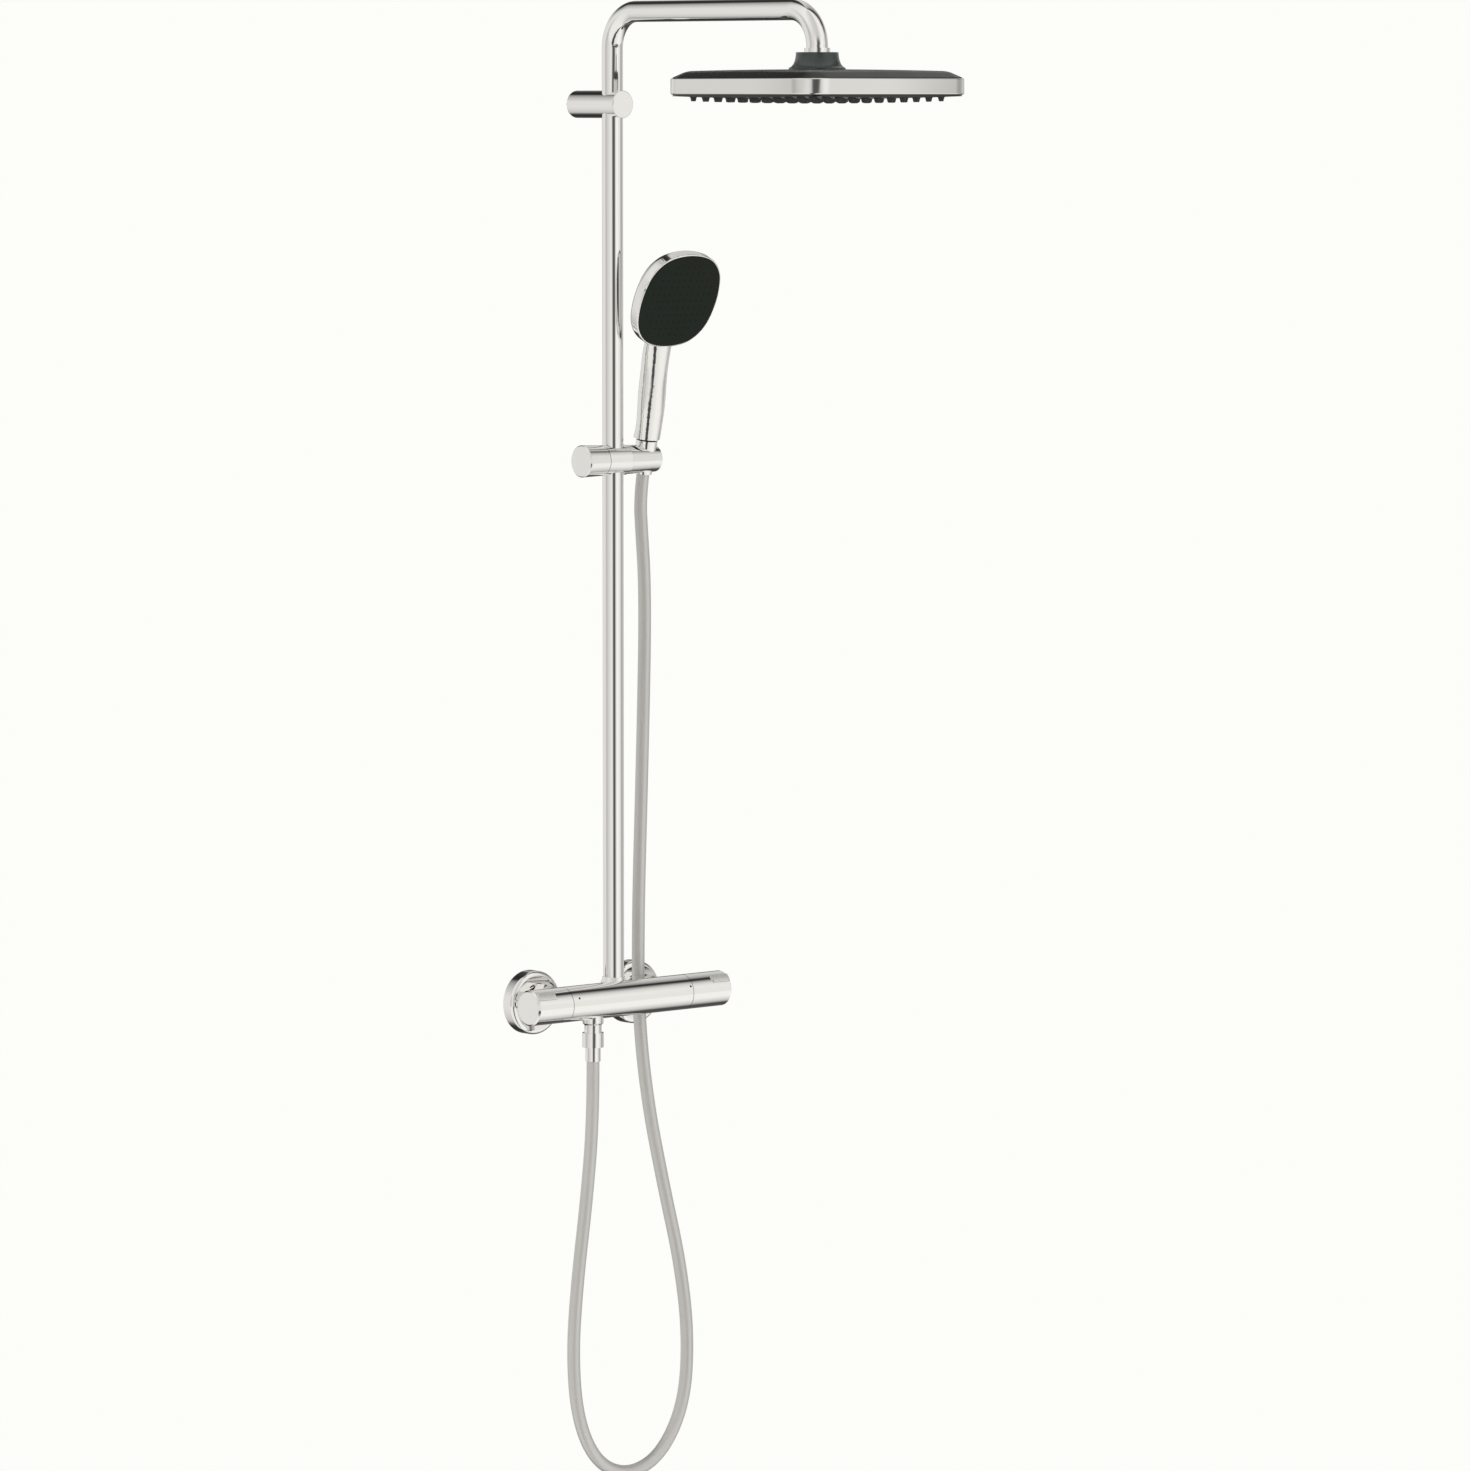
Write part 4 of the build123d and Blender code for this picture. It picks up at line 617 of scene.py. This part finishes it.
@dataclass
class NozzleField:
    """Soft nozzles on a spray face, set out by a node tree."""

    name: str
    body: str
    centre: tuple[float, float, float]
    rows: int
    pitch: float
    base: float
    tip: float
    length: float
    reach: float
    bow_per_mm: float = 0.0
    tilt: float = 0.0
    collar: float = 0.5
    sides: int = 14
    crisp_angle: float = 40.0

    def build(self, material: bpy.types.Material, slot: Slot) -> bpy.types.Object:
        """Make the nozzles as one mesh in place.

        Args:
            material: Material of the nozzles.
            slot: Slot of the record, which is not used.

        Returns:
            The piece.
        """
        sizes = {
            "Pitch": self.pitch * MM, "Base": self.base / 2 * MM, "Tip": self.tip / 2 * MM,
            "Length": self.length * MM, "Bow": self.bow_per_mm / MM, "Reach": self.reach * MM,
            "Collar": self.collar * MM,
        }
        mesh = tree_mesh(self.name, self._tree(sizes), sizes)
        turned = Matrix.Rotation(math.radians(self.tilt), 4, "X")
        mesh.transform(Matrix.Translation(Vector(self.centre) * MM) @ turned)
        for face in mesh.polygons:
            face.use_smooth = True
        piece = new_piece(self.name, mesh, material)
        split = piece.modifiers.new("crisp_edges", "EDGE_SPLIT")
        split.split_angle = math.radians(self.crisp_angle)
        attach(piece, self.body)
        return piece

    def _tree(self, labels: Iterable[str]) -> bpy.types.NodeTree:
        """Build the node tree: a grid of points, each with a nozzle that points down from a bowed face.

        Args:
            labels: Names of its inputs.

        Returns:
            The node tree.
        """
        tree = new_tree(self.name, labels)
        given = add_node(tree, "NodeGroupInput").outputs
        side = add_node(
            tree, "ShaderNodeMath", {0: given["Pitch"], 1: float(self.rows - 1)}, operation="MULTIPLY"
        ).outputs[0]
        grid = add_node(
            tree, "GeometryNodeMeshGrid",
            {"Size X": side, "Size Y": side, "Vertices X": self.rows, "Vertices Y": self.rows},
        ).outputs[0]
        spot = add_node(tree, "GeometryNodeInputPosition").outputs[0]
        away = add_node(tree, "ShaderNodeVectorMath", {0: spot}, operation="LENGTH").outputs["Value"]
        outside = add_node(
            tree, "FunctionNodeCompare", {0: away, 1: given["Reach"]}, operation="GREATER_THAN"
        ).outputs[0]
        kept = add_node(
            tree, "GeometryNodeDeleteGeometry", {0: grid, 1: outside}, domain="POINT"
        ).outputs[0]
        square = add_node(tree, "ShaderNodeMath", {0: away, 1: away}, operation="MULTIPLY").outputs[0]
        rise = add_node(
            tree, "ShaderNodeMath", {0: square, 1: given["Bow"]}, operation="MULTIPLY"
        ).outputs[0]
        lift = add_node(tree, "ShaderNodeCombineXYZ", {2: rise}).outputs[0]
        bowed = add_node(tree, "GeometryNodeSetPosition", {"Geometry": kept, "Offset": lift}).outputs[0]
        cone = add_node(
            tree, "GeometryNodeMeshCone",
            {
                "Vertices": self.sides, "Radius Top": given["Base"], "Radius Bottom": given["Tip"],
                "Depth": given["Length"],
            },
        ).outputs[0]
        down = add_node(
            tree, "ShaderNodeMath", {0: given["Length"], 1: -1.0}, operation="MULTIPLY"
        ).outputs[0]
        drop = add_node(tree, "ShaderNodeCombineXYZ", {2: down}).outputs[0]
        hung = add_node(tree, "GeometryNodeTransform", {"Geometry": cone, "Translation": drop}).outputs[0]
        wide = add_node(
            tree, "ShaderNodeMath", {0: given["Base"], 1: given["Collar"]}, operation="ADD"
        ).outputs[0]
        ring = add_node(
            tree, "GeometryNodeMeshCylinder",
            {"Vertices": self.sides, "Radius": wide, "Depth": given["Collar"]},
        ).outputs[0]
        both = add_node(tree, "GeometryNodeJoinGeometry")
        for shape in (hung, ring):
            tree.links.new(shape, both.inputs[0])
        many = add_node(
            tree, "GeometryNodeInstanceOnPoints", {"Points": bowed, "Instance": both.outputs[0]}
        ).outputs[0]
        real = add_node(tree, "GeometryNodeRealizeInstances", {0: many}).outputs[0]
        add_node(tree, "NodeGroupOutput", {0: real})
        return tree


@dataclass
class BarMixer(SubAssembly):
    """Thermostatic bar with its two handles, wall unions, escutcheons and hose outlet."""

    bar_from_wall: float = 77.0
    bar_height: float = BAR_HEIGHT
    bar_radius: float = 20.0
    mark_angle: float = 24.0
    mark_width: float = 2.6
    mark_rise: float = 0.12
    mark_edge: float = 0.04
    mark_sink: float = 0.5
    mark_sides: int = 20
    mark_places: tuple[float, float] = (-79.5, 87.0)
    supply_spacing: float = 150.0
    thread_radius: float = 10.3
    thread_pitch: float = 1.814
    thread_length: float = 10.5
    thread_ridge: float = 0.5
    thread_start: float = 2.0

    NODES: ClassVar[tuple[str, ...]] = (
        "mixer_body", "s_union_left", "s_union_right", "escutcheon_left", "escutcheon_right",
        "strainer_washer_left", "strainer_washer_right", "inlet_nut_left", "inlet_nut_right",
        "check_valve_left", "check_valve_right", "thermostat_cartridge", "diverter_cartridge",
        "temperature_stop_ring", "hose_nipple", "hose_washer", "hose_nut", "hose_ferrule", "flow_handle",
        "flow_spindle", "flow_handle_screw", "flow_end_disc", "eco_button", "temperature_handle",
        "temperature_spindle", "temperature_handle_screw", "temperature_end_disc", "safety_button",
    )
    OTHER_FINISH: ClassVar[dict[str, Finish]] = {"eco_button": SATIN_CHROME, "safety_button": SATIN_CHROME}

    def build(self, frame: dict, palette: Palette) -> None:
        """Make the round marks on the bar and the threads of the wall unions.

        Args:
            palette: The shared materials.
        """
        for name, x in zip(("flow_mark", "temperature_mark"), self.mark_places):
            mark = new_piece(name, self._mark(name, x), palette.of(Slot.FACE))
            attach(mark, "column")
        for name, side in (("left_union_thread", -1), ("right_union_thread", 1)):
            start = (side * self.supply_spacing / 2, self.thread_start, 0.0)
            thread = Thread(
                name, self.thread_radius, self.thread_pitch, self.thread_length, self.thread_ridge, start
            )
            thread.build(palette.of(Slot.CHROME), Slot.CHROME, "column")

    def _mark(self, name: str, x: float) -> bpy.types.Mesh:
        """Make a small round inlay that follows the bar's curve.

        Args:
            name: Name of the mesh.
            x: Place of its middle along the bar.

        Returns:
            The mesh, closed all round.
        """
        shape = bmesh.new()
        radius = self.mark_width / 2
        sides = self.mark_sides
        turns = [2 * math.pi * k / sides for k in range(sides)]
        edge = [(radius * math.cos(t), radius * math.sin(t)) for t in turns]
        top = [shape.verts.new(self._on_bar(x + a, b, self.mark_edge)) for a, b in edge]
        foot = [shape.verts.new(self._on_bar(x + a, b, -self.mark_sink)) for a, b in edge]
        crown = shape.verts.new(self._on_bar(x, 0, self.mark_rise))
        base = shape.verts.new(self._on_bar(x, 0, -self.mark_sink))
        for k in range(sides):
            n = (k + 1) % sides
            shape.faces.new((top[k], top[n], crown)).smooth = True
            shape.faces.new((foot[n], foot[k], base))
            shape.faces.new((foot[k], foot[n], top[n], top[k]))
        return closed_mesh(name, shape)

    def _on_bar(self, x: float, across: float, level: float) -> Vector:
        """Find a place near the marks on the bar.

        Args:
            x: Place along the bar.
            across: Way round the bar from the marks' line.
            level: Height over the bar's surface.

        Returns:
            The place in metres.
        """
        angle = math.radians(self.mark_angle) + across / self.bar_radius
        out = self.bar_radius + level
        y = -self.bar_from_wall - out * math.cos(angle)
        z = self.bar_height + out * math.sin(angle)
        return Vector((x, y, z)) * MM


@dataclass
class RiserAndArm(SubAssembly):
    """Upright tube with its wall bracket, and the bent arm that swivels on it."""

    bracket_height: float = 1009.5
    screw_radius: float = 2.3
    screw_pitch: float = 1.8
    screw_length: float = 11.5
    screw_ridge: float = 0.4
    screw_start: float = 1.0
    screw_sides: int = 24

    NODES: ClassVar[tuple[str, ...]] = (
        "riser_tube", "riser_collar", "swivel_spigot", "swivel_o_rings", "bracket_body", "bracket_cap",
        "bracket_wall_plug", "bracket_wall_screw", "shower_arm", "arm_collar",
    )

    def build(self, frame: dict, palette: Palette) -> None:
        """Make the thread of the bracket's wall screw.

        Args:
            palette: The shared materials.
        """
        thread = Thread(
            "wall_screw_thread", self.screw_radius, self.screw_pitch, self.screw_length, self.screw_ridge,
            (0.0, self.screw_start, self.bracket_height), self.screw_sides,
        )
        thread.build(palette.of(Slot.STEEL), Slot.STEEL, "column")


@dataclass
class RainHead(SubAssembly):
    """Square rain head on its ball joint, with a bright band and rows of nozzles."""

    centre: tuple[float, float, float] = (0.0, -400.0, 1015.1)
    rows: int = 11
    pitch: float = 19.0
    nozzle_base: float = 7.4
    nozzle_tip: float = 5.0
    nozzle_length: float = 4.6
    face_bow: float = 4.0
    face_reach: float = 172.0

    NODES: ClassVar[tuple[str, ...]] = (
        "ball_stud", "ball_seat", "ball_housing", "ball_retainer", "head_top_shell", "head_rim",
        "spray_plate", "spray_nozzles",
    )
    OTHER_FINISH: ClassVar[dict[str, Finish]] = {
        "ball_housing": SLATE_ABS, "head_rim": HEAD_BAND, "spray_plate": GLOSS_FACE,
    }

    def build(self, frame: dict, palette: Palette) -> None:
        """Set out the nozzles on the bowed spray plate, in place of the plain ones.

        Args:
            palette: The shared materials.
        """
        # A shallow dome rises by this times the square of the distance from its middle
        bow = self.face_bow / (self.face_reach**2 + self.face_bow**2)
        # A reach past the corners keeps every nozzle of the square
        reach = self.rows * self.pitch
        field = NozzleField(
            "head_nozzles", "rain_head", self.centre, self.rows, self.pitch, self.nozzle_base,
            self.nozzle_tip, self.nozzle_length, reach, bow,
        )
        piece = field.build(palette.of(Slot.NOZZLE), Slot.NOZZLE)
        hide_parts("spray_nozzles")


@dataclass
class Slider(SubAssembly):
    """Clamp on the riser with its knob and the tilting holder."""

    NODES: ClassVar[tuple[str, ...]] = (
        "clamp_sleeve", "slider_body", "brake_pad", "clamp_knob", "handset_holder",
    )


@dataclass
class HandShower(SubAssembly):
    """Bright hand shower with a dark face and small nozzles."""

    face_middle: tuple[float, float, float] = (47.5, -120.7, 790.0)
    face_tilt: float = 23.7
    face_proud: float = 0.55
    rows: int = 11
    pitch: float = 8.4
    nozzle_base: float = 2.0
    nozzle_tip: float = 1.6
    nozzle_length: float = 0.45
    nozzle_reach: float = 46.0
    nozzle_collar: float = 0.1
    nozzle_sides: int = 10
    grip_foot: tuple[float, float, float] = (47.5, -59.083, 594.955)
    grip_lean: float = HANDLE_LEAN
    grip_range: tuple[float, float] = (70.0, 125.0)
    grip_swell: float = 0.22
    grip_back: float = 0.08

    NODES: ClassVar[tuple[str, ...]] = ("hose_cone_nut", "handset_washer", "handset_shell", "handset_face")

    def build(self, frame: dict, palette: Palette) -> None:
        """Fill out the grip and set out the small nozzles on the face.

        Args:
            palette: The shared materials.
        """
        shell = frame["nodes"]["handset_shell"].data.copy()
        shell.name = "handset_body"
        self._fill_grip(shell)
        body = new_piece(shell.name, shell, palette.of(Slot.PLATED))
        smooth_by_angle(body)
        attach(body, "handset")
        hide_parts("handset_shell")
        tilt = math.radians(self.face_tilt)
        out = Vector((0, -math.cos(tilt), -math.sin(tilt)))
        centre = Vector(self.face_middle) + out * self.face_proud
        # The field's nozzles point down, so a face that looks straight ahead needs a quarter turn
        field = NozzleField(
            "handset_nozzles", "handset", tuple(centre), self.rows, self.pitch, self.nozzle_base,
            self.nozzle_tip, self.nozzle_length, self.nozzle_reach, tilt=self.face_tilt - 90,
            collar=self.nozzle_collar, sides=self.nozzle_sides,
        )
        field.build(palette.of(Slot.FACE), Slot.FACE)

    def _fill_grip(self, shell: bpy.types.Mesh) -> None:
        """Make the lower grip fuller round its axis, most of all at its back.

        Args:
            shell: Copy of the shell's mesh, which is changed.
        """
        lean = math.radians(self.grip_lean)
        axis = Vector((0, -math.sin(lean), math.cos(lean)))
        fore = Vector((0, -math.cos(lean), -math.sin(lean)))
        foot = Vector(self.grip_foot) * MM
        full, plain = (edge * MM for edge in self.grip_range)
        for vertex in shell.vertices:
            along = (vertex.co - foot).dot(axis)
            spoke = vertex.co - foot - axis * along
            if along >= plain or spoke.length == 0:
                continue
            share = min(1.0, (plain - along) / (plain - full))
            # Smooth step, so that the swell begins and ends without an edge
            share = share * share * (3 - 2 * share)
            swell = share * (self.grip_swell - self.grip_back * spoke.normalized().dot(fore))
            vertex.co += spoke * swell


@dataclass
class Hose(SubAssembly):
    """Smooth silver shower hose that hangs from the hand shower, loops and comes up to the outlet."""

    diameter: float = 14.5
    sides: int = 24
    bar_height: float = BAR_HEIGHT
    start: tuple[float, float, float] = (-44.0, -77.0, -67.5)
    lead: float = 66.0
    end: tuple[float, float, float] = (47.5, -59.083, 590.455)
    tail: float = 30.0
    lean: float = HANDLE_LEAN
    order: int = 3
    steps: int = 10
    # Lengths that take up the lift, the holder's tilt and the slider's swivel, from the hand shower down
    crossings: tuple[float, ...] = (88.0, 190.0, 250.0)
    # Half of a blend so long that the whole loop moves by very nearly one half
    even_blend: float = 60000.0

    NODES: ClassVar[tuple[str, ...]] = ("shower_hose",)

    # Route from the outlet to the hand shower, each point as (x, y, height over the bar's axis)
    POINTS: ClassVar[tuple] = (
        (-54.0, -77.0, -225.0), (-68.0, -77.0, -315.0), (-75.5, -77.0, -400.0), (-67.5, -77.0, -475.0),
        (-38.5, -76.5, -527.0), (9.0, -76.0, -546.0), (60.0, -74.0, -530.0), (98.5, -71.0, -475.0),
        (108.0, -67.0, -396.0), (99.0, -63.0, -312.0), (79.0, -57.0, -222.0), (60.0, -50.5, -122.0),
        (50.8, -46.0, -20.0), (50.4, -46.8, 95.0), (53.8, -47.8, 210.0), (57.0, -48.4, 320.0),
        (58.8, -49.0, 410.0), (57.6, -49.8, 474.0), (52.0, -51.6, 524.0),
    )

    def build(self, frame: dict, palette: Palette) -> None:
        """Make the hose in lengths: three for the slide, and one each for the swivel, the tilt and the lift.

        Args:
            palette: The shared materials.
        """
        line = self._line()
        cuts = self._cuts(line)
        across = self._across(line)
        lengths = []
        for number, (first, last) in enumerate(zip(cuts, cuts[1:])):
            mesh = self._tube(f"hose_length_{number + 1}", line, across, first, last)
            lengths.append(new_piece(mesh.name, mesh, palette.of(Slot.HOSE)))
        self._hang(lengths, line, cuts)

    def _line(self) -> list[Vector]:
        """Read the hose's centre line from a NURBS curve along its route.

        Returns:
            Points of the centre line in metres.
        """
        lean = math.radians(self.lean)
        axis = Vector((0, -math.sin(lean), math.cos(lean)))
        start, end = Vector(self.start), Vector(self.end)
        route = [start, start - Vector((0, 0, self.lead))] + [Vector(p) for p in self.POINTS]
        route += [end - axis * self.tail, end]
        data = bpy.data.curves.new("hose_route", "CURVE")
        data.dimensions = "3D"
        data.resolution_u = self.steps
        spline = data.splines.new("NURBS")
        spline.points.add(len(route) - 1)
        for control, point in zip(spline.points, route):
            control.co = (point.x * MM, point.y * MM, (point.z + self.bar_height) * MM, 1.0)
        spline.order_u = self.order
        spline.use_endpoint_u = True
        curve = bpy.data.objects.new("hose_route", data)
        mesh = bpy.data.meshes.new_from_object(curve)
        points = [v.co.copy() for v in mesh.vertices]
        bpy.data.meshes.remove(mesh)
        bpy.data.objects.remove(curve)
        bpy.data.curves.remove(data)
        return points

    def _cuts(self, line: list[Vector]) -> list[int]:
        """Choose where one length ends and the next begins.

        The loop is cut at its two outermost points, where it runs upright, and the rest at the crossings.

        Args:
            line: Points of the centre line.

        Returns:
            Index of each cut, with both ends.
        """
        left = min(range(len(line)), key=lambda i: line[i].x)
        right = max(range(len(line)), key=lambda i: line[i].x)
        cuts = [len(line) - 1]
        run = 0.0
        for i in range(len(line) - 1, right, -1):
            run += (line[i] - line[i - 1]).length
            if len(cuts) <= len(self.crossings) and run >= self.crossings[len(cuts) - 1] * MM:
                cuts.append(i - 1)
                run = 0.0
        return [0, left, right] + sorted(cuts)

    def _across(self, line: list[Vector]) -> list[tuple[Vector, Vector]]:
        """Carry a pair of cross directions along the line without twist.

        Args:
            line: Points of the centre line.

        Returns:
            Two directions across the hose for each point.
        """
        pairs = []
        side = Vector((1, 0, 0))
        for i in range(len(line)):
            along = (line[min(i + 1, len(line) - 1)] - line[max(i - 1, 0)]).normalized()
            side = (side - along * side.dot(along)).normalized()
            pairs.append((side.copy(), along.cross(side)))
        return pairs

    def _tube(
        self, name: str, line: list[Vector], across: list[tuple[Vector, Vector]], first: int, last: int
    ) -> bpy.types.Mesh:
        """Skin one length of the hose, closed at both ends.

        Args:
            name: Name of the mesh.
            line: Points of the centre line.
            across: Two directions across the hose at each point.
            first: Index of the length's first point.
            last: Index of its last point.

        Returns:
            The mesh, with a UV map in metres round and along the hose.
        """
        radius = self.diameter / 2 * MM
        shape = bmesh.new()
        chart = shape.loops.layers.uv.new("UVMap")
        rings = []
        runs = []
        run = 0.0
        for i in range(first, last + 1):
            if i > first:
                run += (line[i] - line[i - 1]).length
            runs.append(run)
            side, other = across[i]
            ring = []
            for k in range(self.sides):
                a = 2 * math.pi * k / self.sides
                spot = line[i] + side * (radius * math.cos(a)) + other * (radius * math.sin(a))
                ring.append(shape.verts.new(spot))
            rings.append(ring)
        girth = 2 * math.pi * radius
        for i in range(len(rings) - 1):
            for k in range(self.sides):
                n = (k + 1) % self.sides
                face = shape.faces.new((rings[i][k], rings[i][n], rings[i + 1][n], rings[i + 1][k]))
                face.smooth = True
                marks = ((k, i), (k + 1, i), (k + 1, i + 1), (k, i + 1))
                for loop, (u, v) in zip(face.loops, marks):
                    loop[chart].uv = (girth * u / self.sides, runs[v])
        for ring in (list(reversed(rings[0])), rings[-1]):
            shape.faces.new(ring)
            for k in range(self.sides):
                shape.edges.get((ring[k], ring[(k + 1) % self.sides])).smooth = False
        return closed_mesh(name, shape)

    def _hang(self, lengths: list[bpy.types.Object], line: list[Vector], cuts: list[int]) -> None:
        """Hide the plain hose and bake each length's place into its mesh. The bends are worked out but not
        applied: the leg at the outlet would take up half of the slide, the loop would move by that half, and
        the other leg would take up the rest.

        Args:
            lengths: Lengths of hose in order.
            line: Points of the centre line.
            cuts: Index of each cut.
        """
        ends = [line[i] for i in cuts]
        up = Vector((0, 0, 1))
        far = up * (self.even_blend * MM)
        drop = ends[0].z - ends[1].z
        rise = ends[3].z - ends[2].z
        bends = (
            ("column", "slider_sleeve", ends[0], ends[0] - up * 2 * drop),
            ("column", "slider_sleeve", ends[1] - far, ends[1] + far),
            ("column", "slider_sleeve", ends[2] - up * rise, ends[2] + up * rise),
            ("slider_sleeve", "slider", ends[3], ends[4]),
            ("slider", "handset_holder", ends[4], ends[5]),
            ("handset_holder", "handset", ends[5], ends[6]),
        )
        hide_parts("shower_hose")
        for number, (piece, (lower, upper, start, end)) in enumerate(zip(lengths, bends)):
            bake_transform(piece)


def main() -> None:
    """Build the scene in order."""
    logging.basicConfig(level=logging.INFO, format="%(name)s %(message)s")
    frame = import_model()
    Studio().build()
    palette = Palette()
    for group in (Slider(), BarMixer(), RiserAndArm(), RainHead(), HandShower(), Hose()):
        group.dress(frame, palette)
        group.build(frame, palette)


if __name__ == "__main__":
    main()
